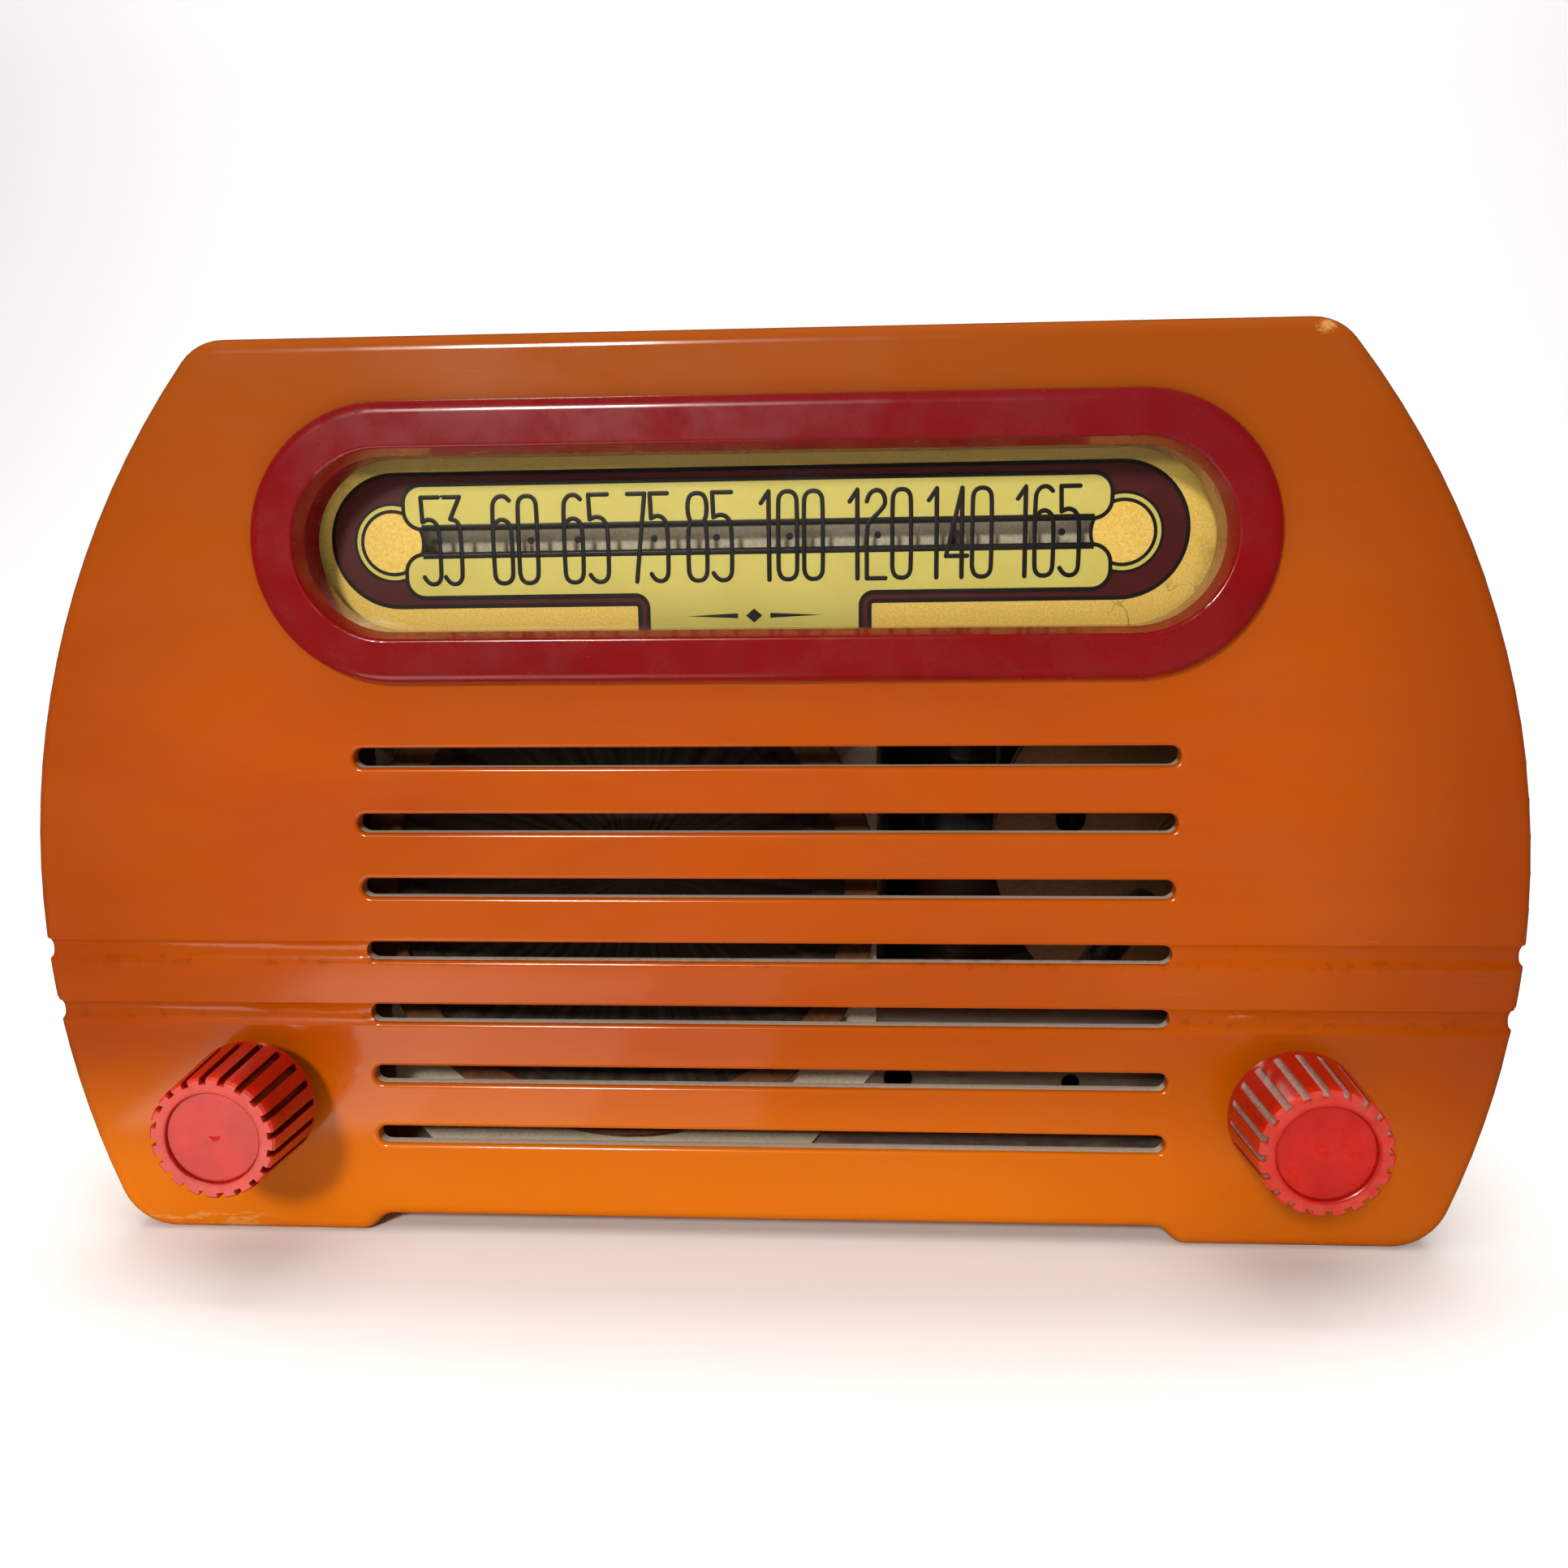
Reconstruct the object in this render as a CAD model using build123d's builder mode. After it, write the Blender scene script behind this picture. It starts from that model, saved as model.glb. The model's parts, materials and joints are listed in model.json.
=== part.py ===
from build123d import *
import math
import os

os.makedirs("parts", exist_ok=True)

# A small table radio of the 1940s: a cast phenolic cabinet with barrel-shaped sides, a
# stadium-shaped dial above seven slots, and a fluted knob low down on each side.
# Millimetres. +Z is up, the front faces -Y, and the origin lies on the surface that the
# radio stands on, under the middle of the whole radio. "Depth" is measured backwards from
# the flat front face of the cabinet.

# ---------------------------------------------------------------- driving dimensions
WIDTH = 279.0
HEIGHT = 170.3
DEPTH = 146.0
KNOB_REACH = 20.8
FACE_Y = (KNOB_REACH - DEPTH) / 2

# cabinet
BULGE_R = 162.0
BULGE_Z = 64.0
TOP_CORNER_R = 10.0
FOOT_CORNER_R = 11.5
INNER_FOOT_R = 4.4
FRONT_EDGE_R = 2.8
BACK_EDGE_R = 1.0
WALL = 6.0
FRONT_WALL = 4.6
FLOOR_Z = 9.4
ARCH_RISE = 3.4
ARCH_HALF_FOOT = 79.0
ARCH_HALF_TOP = ARCH_HALF_FOOT - ARCH_RISE
ARCH_BEND_R = 3.5

# sound slots and the two grooves that carry on from them round the sides
SLOTS = 7
SLOT_TOP_Z = 95.07
SLOT_PITCH = 12.39
SLOT_HALF = 75.8
SLOT_HEIGHT = 3.7
SLOT_EDGE_R = 0.75
SLOT_RELIEF = 1.5
GROOVE_SLOTS = (3, 4)
GROOVE_START = SLOT_HALF - 2.5
GROOVE_HALF = 2.75
GROOVE_CLEAR = 1.5
# how far the groove is sunk, across its width: round lips and a shallow floor
GROOVE_WALL = [(GROOVE_HALF, -0.05), (2.2, 0.08), (1.6, 0.55), (0.9, 0.8)]
GROOVE_PROFILE = [(-across, sunk) for across, sunk in GROOVE_WALL] + GROOVE_WALL[::-1]

# dial
DIAL_Z = 133.85
DIAL_SIDE = 66.5
BEZEL_R = 25.0
BEZEL_PROUD = 2.6
BEZEL_WINDOW_R = 15.6
BEZEL_BEVEL = 1.3
BEZEL_BEVEL_DEPTH = 3.0
BEZEL_EDGE_R = 2.2
BEZEL_LIP_R = 0.7
NECK_WALL = 2.4
NECK_REACH = 7.0
NECK_GAP = 0.2
GASKET_T = 0.6
GLASS_T = 2.5
GLASS_R = 19.2
STUD_X = 42.0
STUD_R = 1.5
STUD_REACH = 8.0
STUD_LEVELS = (DIAL_Z - BEZEL_R + 3.3, DIAL_Z + BEZEL_R - 3.3)
POINTER_DEPTH = 12.2
POINTER_T = 0.6
PLATE_DEPTH = 15.0
PLATE_T = 0.8
PLATE_TOP = 155.0
PLATE_BOTTOM = 115.0

# tuning drive: drum, pulleys and cord all lie in one upright plane
CORD_DEPTH = 22.5
CORD_R = 0.4
CORD_PITCH = 0.95
DRUM_X = 82.6
DRUM_Z = 74.6
DRUM_R = 37.6
DRUM_T = 5.0
GROOVE_R = 36.4
SHAFT_R = 3.17
NECK_R = 2.6
PULLEY_R = 5.0
PULLEY_T = 3.0
POINTER_X = 35.6
RUN_FIT = 0.05
CORD_FIT = 0.08

# knobs
KNOB_X = 97.8
KNOB_Z = 29.3
SHAFT_HOLE_GAP = 1.6
KNOB_FRONT_R = 11.5
KNOB_BACK_R = 12.4
KNOB_BACK = -4.5
KNOB_DISC_R = 8.6
FLUTES = 20
FLUTE_W = 1.35
FLUTE_DEPTH = 1.2
FLUTE_END = 1.0

# loudspeaker
SPEAKER_X = -28.9
SPEAKER_Z = 66.8
SPEAKER_R = 50.6
BASKET_R = 43.0
BAFFLE_DEPTH = 13.4
BAFFLE_T = 1.2

# chassis
CHASSIS_HALF = 116.0
CHASSIS_FRONT = BAFFLE_DEPTH + BAFFLE_T
CHASSIS_BACK = 128.0
CHASSIS_TOP = 42.5
CHASSIS_BASE = 10.0
SHEET = 1.0
BOLTS = [(-60.0, 20.0), (60.0, 20.0), (-60.0, 121.0), (60.0, 121.0)]
BOLT_HOLE_R = 2.3

# back cover
COVER_DEPTH = 140.0
COVER_T = 2.4
BOSSES = [(-97.0, 159.0), (97.0, 159.0), (-123.0, 24.0), (123.0, 24.0)]
BOSS_R = 6.0
BOSS_LENGTH = 11.5
BOSS_PILOT_R = 1.35
CORD_HOLE = (-70.0, 24.0)

# plan positions, (x, depth), of what stands on the chassis
TUBES = [(42.0, 62.0), (12.0, 106.0), (-30.0, 110.0), (-72.0, 104.0), (-98.0, 66.0)]
IF_CANS = [(10.0, 64.0), (-30.0, 76.0)]
FILTER_CAN = (-65.0, 66.0)
TRANSFORMER = (84.0, 106.0)
TUBE_BASE_R = 15.0
TUBE_GLASS_R = 14.2
TUBE_TOP = CHASSIS_TOP + 68.0


# ---------------------------------------------------------------- helpers
def at(depth):
    """Upright plane at a depth behind the front face: local x is X, local y is Z."""
    return Plane.XZ.offset(-(FACE_Y + depth))


def turned(x, z):
    """Plane through an axis along Y: local x is the radius, local y is the depth."""
    return Plane(origin=(x, FACE_Y, z), x_dir=(1, 0, 0), z_dir=(0, 0, 1))


def turning(x, z):
    """The axis along Y that goes with turned(x, z)."""
    return Axis((x, FACE_Y, z), (0, 1, 0))


def upright(x, depth):
    """Plane through an upright axis: local x is the radius, local y is Z."""
    return Plane(origin=(x, FACE_Y + depth, 0), x_dir=(1, 0, 0), z_dir=(0, -1, 0))


def standing(x, depth):
    """The upright axis that goes with upright(x, depth)."""
    return Axis((x, FACE_Y + depth, 0), (0, 0, 1))


def block(x0, x1, depth0, depth1, z0, z1, mode=Mode.ADD):
    """A box between two corners, in X, depth and Z."""
    middle = ((x0 + x1) / 2, FACE_Y + (depth0 + depth1) / 2, (z0 + z1) / 2)
    with Locations(middle):
        Box(abs(x1 - x0), abs(depth1 - depth0), abs(z1 - z0), mode=mode)


def side_x(z, inset=0.0):
    """Half-width of the barrel outline at height z, drawn in by inset."""
    radius = BULGE_R - inset
    return WIDTH / 2 - BULGE_R + math.sqrt(radius**2 - (z - BULGE_Z) ** 2)


def barrel(inset, bottom):
    """The cabinet's front outline, drawn in by inset, standing on height bottom."""
    top = HEIGHT - inset
    low_x = side_x(bottom, inset)
    top_x = side_x(top, inset)
    wide_x = side_x(BULGE_Z, inset)
    with BuildSketch() as outline:
        with BuildLine():
            ThreePointArc((low_x, bottom), (wide_x, BULGE_Z), (top_x, top))
            Line((top_x, top), (-top_x, top))
            ThreePointArc((-top_x, top), (-wide_x, BULGE_Z), (-low_x, bottom))
            Line((-low_x, bottom), (low_x, bottom))
        make_face()
        fillet(outline.vertices().group_by(Axis.Y)[-1], TOP_CORNER_R - inset * 0.6)
        fillet(outline.vertices().group_by(Axis.Y)[0], FOOT_CORNER_R if inset == 0 else INNER_FOOT_R)
    return outline.sketch


def stadium(radius):
    """A stadium with the dial's straight sides, round the dial's centre."""
    with Locations((0, DIAL_Z)):
        SlotCenterToCenter(2 * DIAL_SIDE, 2 * radius)


def stadium_cut(radius):
    """The same stadium, cut out of the sketch."""
    with Locations((0, DIAL_Z)):
        SlotCenterToCenter(2 * DIAL_SIDE, 2 * radius, mode=Mode.SUBTRACT)


def belt_tangent(a, b):
    """Where a cord leaves circle a and meets circle b. A circle is (x, z, radius), and the
    radius is negative on a circle that the cord goes round anticlockwise."""
    ax, az, ar = a
    bx, bz, br = b
    span = math.hypot(bx - ax, bz - az)
    heading = math.atan2(bz - az, bx - ax)
    lean = math.asin((ar - br) / span)
    normal = heading + math.pi / 2 - lean
    side = (math.cos(normal), math.sin(normal))
    start = (ax + ar * side[0], az + ar * side[1])
    end = (bx + br * side[0], bz + br * side[1])
    return start, end


# ---------------------------------------------------------------- cabinet
with BuildPart() as cabinet:
    with BuildSketch(at(0)):
        add(barrel(0, 0))
        with BuildSketch(mode=Mode.SUBTRACT) as arch:
            with BuildLine():
                Polyline(
                    (-ARCH_HALF_FOOT - 4, -9),
                    (-ARCH_HALF_FOOT - 4, 0),
                    (-ARCH_HALF_FOOT, 0),
                    (-ARCH_HALF_TOP, ARCH_RISE),
                    (ARCH_HALF_TOP, ARCH_RISE),
                    (ARCH_HALF_FOOT, 0),
                    (ARCH_HALF_FOOT + 4, 0),
                    (ARCH_HALF_FOOT + 4, -9),
                    close=True,
                )
            make_face()
            bends = arch.vertices().filter_by_position(Axis.Y, -0.1, ARCH_RISE + 0.1)
            fillet(bends.filter_by_position(Axis.X, -80, 80), ARCH_BEND_R)
    extrude(amount=-DEPTH)
    rims = cabinet.edges().group_by(Axis.Y)
    fillet(rims[0], FRONT_EDGE_R)
    fillet(cabinet.edges().group_by(Axis.Y)[-1], BACK_EDGE_R)
    # the hollow, open at the back
    with BuildSketch(at(FRONT_WALL)):
        add(barrel(WALL, FLOOR_Z))
    extrude(amount=-DEPTH, mode=Mode.SUBTRACT)
    # bosses that the back cover rests on and is screwed to
    with BuildSketch(at(COVER_DEPTH)):
        with Locations(*BOSSES):
            Circle(BOSS_R)
    extrude(amount=BOSS_LENGTH)
    with BuildSketch(at(COVER_DEPTH)):
        with Locations(*BOSSES):
            Circle(BOSS_PILOT_R)
    extrude(amount=BOSS_LENGTH - 2, mode=Mode.SUBTRACT)
    # sound slots, with softened front edges
    with BuildSketch(at(0)):
        with Locations(*[(0, SLOT_TOP_Z - i * SLOT_PITCH) for i in range(SLOTS)]):
            SlotOverall(2 * SLOT_HALF, SLOT_HEIGHT)
    extrude(amount=-FRONT_WALL - 1, mode=Mode.SUBTRACT)
    face = cabinet.faces().filter_by(Axis.Y).sort_by(Axis.Y)[0]
    fillet([e for w in face.inner_wires() for e in w.edges()], SLOT_EDGE_R)
    # relieved behind, so that the louvres look thin
    wall_y = FACE_Y + FRONT_WALL
    lining = cabinet.faces().filter_by(Axis.Y).filter_by_position(Axis.Y, wall_y - 0.1, wall_y + 0.1)[0]
    chamfer([e for w in lining.inner_wires() for e in w.edges()], SLOT_RELIEF)
    # opening for the bezel's neck, and the holes for its studs and for the two shafts
    with BuildSketch(at(0)):
        stadium(BEZEL_WINDOW_R + NECK_WALL + NECK_GAP)
        for stud_z in STUD_LEVELS:
            with Locations((-STUD_X, stud_z), (STUD_X, stud_z)):
                Circle(STUD_R + 0.2)
        with Locations((-KNOB_X, KNOB_Z), (KNOB_X, KNOB_Z)):
            Circle(SHAFT_R + SHAFT_HOLE_GAP)
    extrude(amount=-FRONT_WALL - 1, mode=Mode.SUBTRACT)
    # holes in the floor for the chassis bolts
    with BuildSketch(Plane.XY):
        with Locations(*[(x, FACE_Y + depth) for x, depth in BOLTS]):
            Circle(BOLT_HOLE_R)
    extrude(amount=FLOOR_Z + 1, mode=Mode.SUBTRACT)
    # grooves that run from the slots' ends across the face and round the sides
    for slot in GROOVE_SLOTS:
        groove_z = SLOT_TOP_Z - slot * SLOT_PITCH
        for sign in (-1, 1):
            edge_x = side_x(groove_z)
            with BuildLine(mode=Mode.PRIVATE) as groove_path:
                FilletPolyline(
                    (sign * GROOVE_START, FACE_Y, groove_z),
                    (sign * edge_x, FACE_Y, groove_z),
                    (sign * edge_x, FACE_Y + DEPTH + 5, groove_z),
                    radius=FRONT_EDGE_R,
                )
            start = Plane(
                origin=(sign * GROOVE_START, FACE_Y, groove_z),
                x_dir=(0, 0, 1),
                z_dir=(sign, 0, 0),
            )
            with BuildSketch(start, mode=Mode.PRIVATE) as groove_section:
                with BuildLine():
                    outside = sign * GROOVE_CLEAR
                    Spline(
                        *[(across, -sign * sunk) for across, sunk in GROOVE_PROFILE],
                        tangents=((1, 0), (1, 0)),
                    )
                    Polyline(
                        (GROOVE_HALF, -sign * GROOVE_PROFILE[-1][1]),
                        (GROOVE_HALF, outside),
                        (-GROOVE_HALF, outside),
                        (-GROOVE_HALF, -sign * GROOVE_PROFILE[0][1]),
                    )
                make_face()
            sweep(
                groove_section.sketch,
                path=groove_path.wire(),
                mode=Mode.SUBTRACT,
            )
cabinet.part.label = "cabinet"
export_step(cabinet.part, "parts/cabinet.step")


# ---------------------------------------------------------------- dial
with BuildPart() as dial_bezel:
    # flange that stands proud of the cabinet
    with BuildSketch(at(-BEZEL_PROUD)):
        stadium(BEZEL_R)
    extrude(amount=-BEZEL_PROUD)
    fillet(dial_bezel.edges().group_by(Axis.Y)[0], BEZEL_EDGE_R)
    # neck that passes through the front wall
    with BuildSketch(at(0)):
        stadium(BEZEL_WINDOW_R + NECK_WALL)
    extrude(amount=-NECK_REACH)
    # window, with a sloping lip round its front
    with BuildSketch(at(-BEZEL_PROUD - 1)):
        stadium(BEZEL_WINDOW_R)
    extrude(amount=-NECK_REACH - BEZEL_PROUD - 2, mode=Mode.SUBTRACT)
    lip_face = dial_bezel.faces().filter_by(Axis.Y).sort_by(Axis.Y)[0]
    chamfer(
        lip_face.inner_wires()[0].edges(),
        length=BEZEL_BEVEL,
        length2=BEZEL_BEVEL_DEPTH,
        reference=lip_face,
    )
    lip_face = dial_bezel.faces().filter_by(Axis.Y).sort_by(Axis.Y)[0]
    fillet(lip_face.inner_wires()[0].edges(), BEZEL_LIP_R)
    # studs for the speed nuts
    with BuildSketch(at(0)):
        for stud_z in STUD_LEVELS:
            with Locations((-STUD_X, stud_z), (STUD_X, stud_z)):
                Circle(STUD_R)
    extrude(amount=-STUD_REACH)
dial_bezel.part.label = "dial_bezel"
export_step(dial_bezel.part, "parts/dial_bezel.step")

with BuildPart() as bezel_speed_nuts:
    with BuildSketch(at(FRONT_WALL)):
        for stud_z in STUD_LEVELS:
            with Locations((-STUD_X, stud_z), (STUD_X, stud_z)):
                RectangleRounded(12, 5.6, 1.2)
                Circle(STUD_R + 0.05, mode=Mode.SUBTRACT)
    extrude(amount=-0.5)
    fillet(bezel_speed_nuts.edges().filter_by(GeomType.CIRCLE).group_by(Axis.Y)[-1], 0.1)
bezel_speed_nuts.part.label = "bezel_speed_nuts"
export_step(bezel_speed_nuts.part, "parts/bezel_speed_nuts.step")

with BuildPart() as dial_gasket:
    with BuildSketch(at(NECK_REACH)):
        stadium(GLASS_R - 0.4)
        stadium_cut(BEZEL_WINDOW_R + 0.4)
    extrude(amount=-GASKET_T)
dial_gasket.part.label = "dial_gasket"
export_step(dial_gasket.part, "parts/dial_gasket.step")

GLASS_DEPTH = NECK_REACH + GASKET_T
with BuildPart() as dial_glass:
    with BuildSketch(at(GLASS_DEPTH)):
        stadium(GLASS_R)
    extrude(amount=-GLASS_T)
    chamfer(dial_glass.edges().group_by(Axis.Y)[0], 0.3)
dial_glass.part.label = "dial_glass"
export_step(dial_glass.part, "parts/dial_glass.step")

# spring clips that press the glass against the neck, under the speed nuts
CLIP_X = 66.0
with BuildPart() as glass_clips:
    for sign in (-1, 1):
        for clip_z, toward in ((DIAL_Z + GLASS_R, 1), (DIAL_Z - GLASS_R, -1)):
            x0, x1 = sign * CLIP_X - 5, sign * CLIP_X + 5
            glass_back = GLASS_DEPTH + GLASS_T
            z_in, z_out = clip_z - toward * 2.4, clip_z + toward * 1.0
            z_foot = clip_z + toward * 3.0
            block(x0, x1, glass_back, glass_back + 0.6, z_in, z_out)
            block(x0, x1, FRONT_WALL, glass_back + 0.6, z_out - toward * 0.6, z_out)
            block(x0, x1, FRONT_WALL, FRONT_WALL + 0.6, z_out, z_foot)
glass_clips.part.label = "glass_clips"
export_step(glass_clips.part, "parts/glass_clips.step")

# sheet that closes the dial behind the pointer; its top edge is the pointer's rail
PLATE_LEFT = -93.0
PLATE_RIGHT = 110.0
P1 = (-84.0, 134.0)
P2 = (103.0, 134.0)
DRUM_EFFECTIVE = GROOVE_R + CORD_FIT + CORD_R
PULLEY_EFFECTIVE = PULLEY_R + CORD_FIT + CORD_R
NECK_EFFECTIVE = NECK_R + CORD_FIT + CORD_R
P3 = (DRUM_X - DRUM_EFFECTIVE - PULLEY_EFFECTIVE, P1[1] - 2 * PULLEY_EFFECTIVE)
PULLEYS = (P1, P2, P3)
STUD_HOLE_R = 1.55
with BuildPart() as dial_backplate:
    with BuildSketch(at(PLATE_DEPTH)):
        with BuildLine():
            Polyline(
                (PLATE_LEFT, PLATE_BOTTOM + 5),
                (PLATE_LEFT + 6, PLATE_BOTTOM),
                (PLATE_RIGHT - 4, PLATE_BOTTOM),
                (PLATE_RIGHT, PLATE_BOTTOM + 5),
                (PLATE_RIGHT, 140),
                (92, PLATE_TOP),
                (-88, PLATE_TOP),
                (PLATE_LEFT, 147),
                close=True,
            )
        make_face()
        with Locations(*PULLEYS):
            Circle(STUD_HOLE_R, mode=Mode.SUBTRACT)
    extrude(amount=-PLATE_T)
dial_backplate.part.label = "dial_backplate"
export_step(dial_backplate.part, "parts/dial_backplate.step")

# two posts carry the backplate from the chassis
POST_W = 14.0
with BuildPart() as dial_brackets:
    for x0 in (-91.0, 94.0):
        x1 = x0 + POST_W
        post_front = PLATE_DEPTH + PLATE_T
        block(x0, x1, post_front, post_front + SHEET, CHASSIS_TOP, 124)
        block(x0, x1, CHASSIS_FRONT, post_front + SHEET, CHASSIS_TOP, CHASSIS_TOP + SHEET)
dial_brackets.part.label = "dial_brackets"
export_step(dial_brackets.part, "parts/dial_brackets.step")

PULLEY_FRONT = CORD_DEPTH - PULLEY_T / 2
with BuildPart() as pulley_studs:
    for x, z in PULLEYS:
        with BuildSketch(turned(x, z)):
            with BuildLine():
                Polyline(
                    (0, PLATE_DEPTH - 0.8),
                    (2.4, PLATE_DEPTH - 0.8),
                    (2.4, PLATE_DEPTH),
                    (1.5, PLATE_DEPTH),
                    (1.5, PLATE_DEPTH + PLATE_T),
                    (2.6, PLATE_DEPTH + PLATE_T),
                    (2.6, PULLEY_FRONT - RUN_FIT * 2),
                    (1.5, PULLEY_FRONT - RUN_FIT * 2),
                    (1.5, PULLEY_FRONT + PULLEY_T + RUN_FIT * 2),
                    (2.4, PULLEY_FRONT + PULLEY_T + RUN_FIT * 2),
                    (2.4, PULLEY_FRONT + PULLEY_T + 0.9),
                    (0, PULLEY_FRONT + PULLEY_T + 0.9),
                    close=True,
                )
            make_face()
        revolve(axis=turning(x, z))
pulley_studs.part.label = "pulley_studs"
export_step(pulley_studs.part, "parts/pulley_studs.step")


def cord_wheel(x, z, bore, groove, rim, front, thickness, half=0.62):
    """Section of a grooved wheel, from its bore to its rim; half is half its groove's floor."""
    middle = front + thickness / 2
    with BuildSketch(turned(x, z)) as section:
        with BuildLine():
            Polyline(
                (bore, front),
                (rim, front),
                (rim, front + 0.4),
                (groove, middle - half),
                (groove, middle + half),
                (rim, front + thickness - 0.4),
                (rim, front + thickness),
                (bore, front + thickness),
                close=True,
            )
        make_face()
    return section.sketch


with BuildPart() as pulley_left:
    add(cord_wheel(*P1, 1.5 + RUN_FIT, PULLEY_R, PULLEY_R + 1.4, PULLEY_FRONT, PULLEY_T))
    revolve(axis=turning(*P1))
pulley_left.part.label = "pulley_left"
export_step(pulley_left.part, "parts/pulley_left.step")

with BuildPart() as pulley_right:
    add(cord_wheel(*P2, 1.5 + RUN_FIT, PULLEY_R, PULLEY_R + 1.4, PULLEY_FRONT, PULLEY_T))
    revolve(axis=turning(*P2))
pulley_right.part.label = "pulley_right"
export_step(pulley_right.part, "parts/pulley_right.step")

with BuildPart() as pulley_lower:
    add(cord_wheel(*P3, 1.5 + RUN_FIT, PULLEY_R, PULLEY_R + 1.4, PULLEY_FRONT, PULLEY_T))
    revolve(axis=turning(*P3))
pulley_lower.part.label = "pulley_lower"
export_step(pulley_lower.part, "parts/pulley_lower.step")

# ---------------------------------------------------------------- dial cord
# The loop runs clockwise: over the left pulley, right along the pointer's run, over the
# right pulley, down round the drum's right side, under the tuning shaft, up round the
# drum's left side, anticlockwise over the lower pulley and back to the left pulley.
WRAPS = [
    (*P1, PULLEY_EFFECTIVE),
    (*P2, PULLEY_EFFECTIVE),
    (DRUM_X, DRUM_Z, DRUM_EFFECTIVE),
    (KNOB_X, KNOB_Z, NECK_EFFECTIVE),
    (DRUM_X, DRUM_Z, DRUM_EFFECTIVE),
    (*P3, -PULLEY_EFFECTIVE),
]
RUNS = [belt_tangent(WRAPS[i], WRAPS[(i + 1) % len(WRAPS)]) for i in range(len(WRAPS))]
for i, (x, z, radius) in enumerate(WRAPS):
    arrive = RUNS[i - 1][1]
    leave = RUNS[i][0]
    print("cord wrap", i, [round(v, 1) for v in (*arrive, *leave)], "radius", round(abs(radius), 2))

with BuildPart() as dial_cord:
    with BuildLine(at(CORD_DEPTH)) as cord_path:
        for i, run in enumerate(RUNS):
            Line(*run)
            x, z, radius = WRAPS[(i + 1) % len(WRAPS)]
            arrive = run[1]
            leave = RUNS[(i + 1) % len(WRAPS)][0]
            first = math.atan2(arrive[1] - z, arrive[0] - x)
            last = math.atan2(leave[1] - z, leave[0] - x)
            clockwise = radius > 0
            sweep_angle = (first - last if clockwise else last - first) % (2 * math.pi)
            middle = first + (-sweep_angle if clockwise else sweep_angle) / 2
            crown = (x + abs(radius) * math.cos(middle), z + abs(radius) * math.sin(middle))
            ThreePointArc(arrive, crown, leave)
    start = RUNS[0][0]
    with BuildSketch(Plane(origin=(start[0], FACE_Y + CORD_DEPTH, start[1]), z_dir=(1, 0, 0))):
        Circle(CORD_R)
    sweep(path=cord_path.wire())
    # spare turns beside the loop: one in the drum's groove, two round the shaft's neck
    for x, z, radius, beside in (
        (DRUM_X, DRUM_Z, DRUM_EFFECTIVE, 1),
        (KNOB_X, KNOB_Z, NECK_EFFECTIVE, -1),
        (KNOB_X, KNOB_Z, NECK_EFFECTIVE, 1),
    ):
        with BuildSketch(turned(x, z)):
            with Locations((radius, CORD_DEPTH + beside * CORD_PITCH)):
                Circle(CORD_R)
        revolve(axis=turning(x, z))
dial_cord.part.label = "dial_cord"
export_step(dial_cord.part, "parts/dial_cord.step")

# ---------------------------------------------------------------- tuning drive
CARRIAGE_W = 9.0
with BuildPart() as pointer:
    # needle, then the carriage folded over the backplate's top edge
    half = CARRIAGE_W / 2
    leg_back = PLATE_DEPTH + PLATE_T + 0.5
    block(POINTER_X - 0.5, POINTER_X + 0.5, POINTER_DEPTH, POINTER_DEPTH + POINTER_T, 121, 152)
    block(
        POINTER_X - half, POINTER_X + half,
        POINTER_DEPTH, POINTER_DEPTH + POINTER_T, 151, PLATE_TOP + 1.1,
    )
    block(
        POINTER_X - half, POINTER_X + half,
        POINTER_DEPTH, leg_back + POINTER_T, PLATE_TOP + 0.5, PLATE_TOP + 1.1,
    )
    block(
        POINTER_X - half, POINTER_X + half,
        leg_back, leg_back + POINTER_T, 143, PLATE_TOP + 1.1,
    )
    # arm that reaches back to the cord, with an eye that the cord is clipped into
    block(
        POINTER_X - half, POINTER_X + half,
        leg_back, CORD_DEPTH + 2.0, 142.4, 143,
    )
    block(POINTER_X - half, POINTER_X + half, CORD_DEPTH + 1.4, CORD_DEPTH + 2, 137, 143)
    block(POINTER_X - 2, POINTER_X + 2, CORD_DEPTH - 1.6, CORD_DEPTH + 2, 137, 137.6)
    with BuildSketch(at(POINTER_DEPTH - 0.01)):
        with Locations((POINTER_X, 153.6)):
            Circle(0.9)
    extrude(amount=-POINTER_T - 0.1, mode=Mode.SUBTRACT)
pointer.part.label = "pointer"
export_step(pointer.part, "parts/pointer.step")

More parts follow.
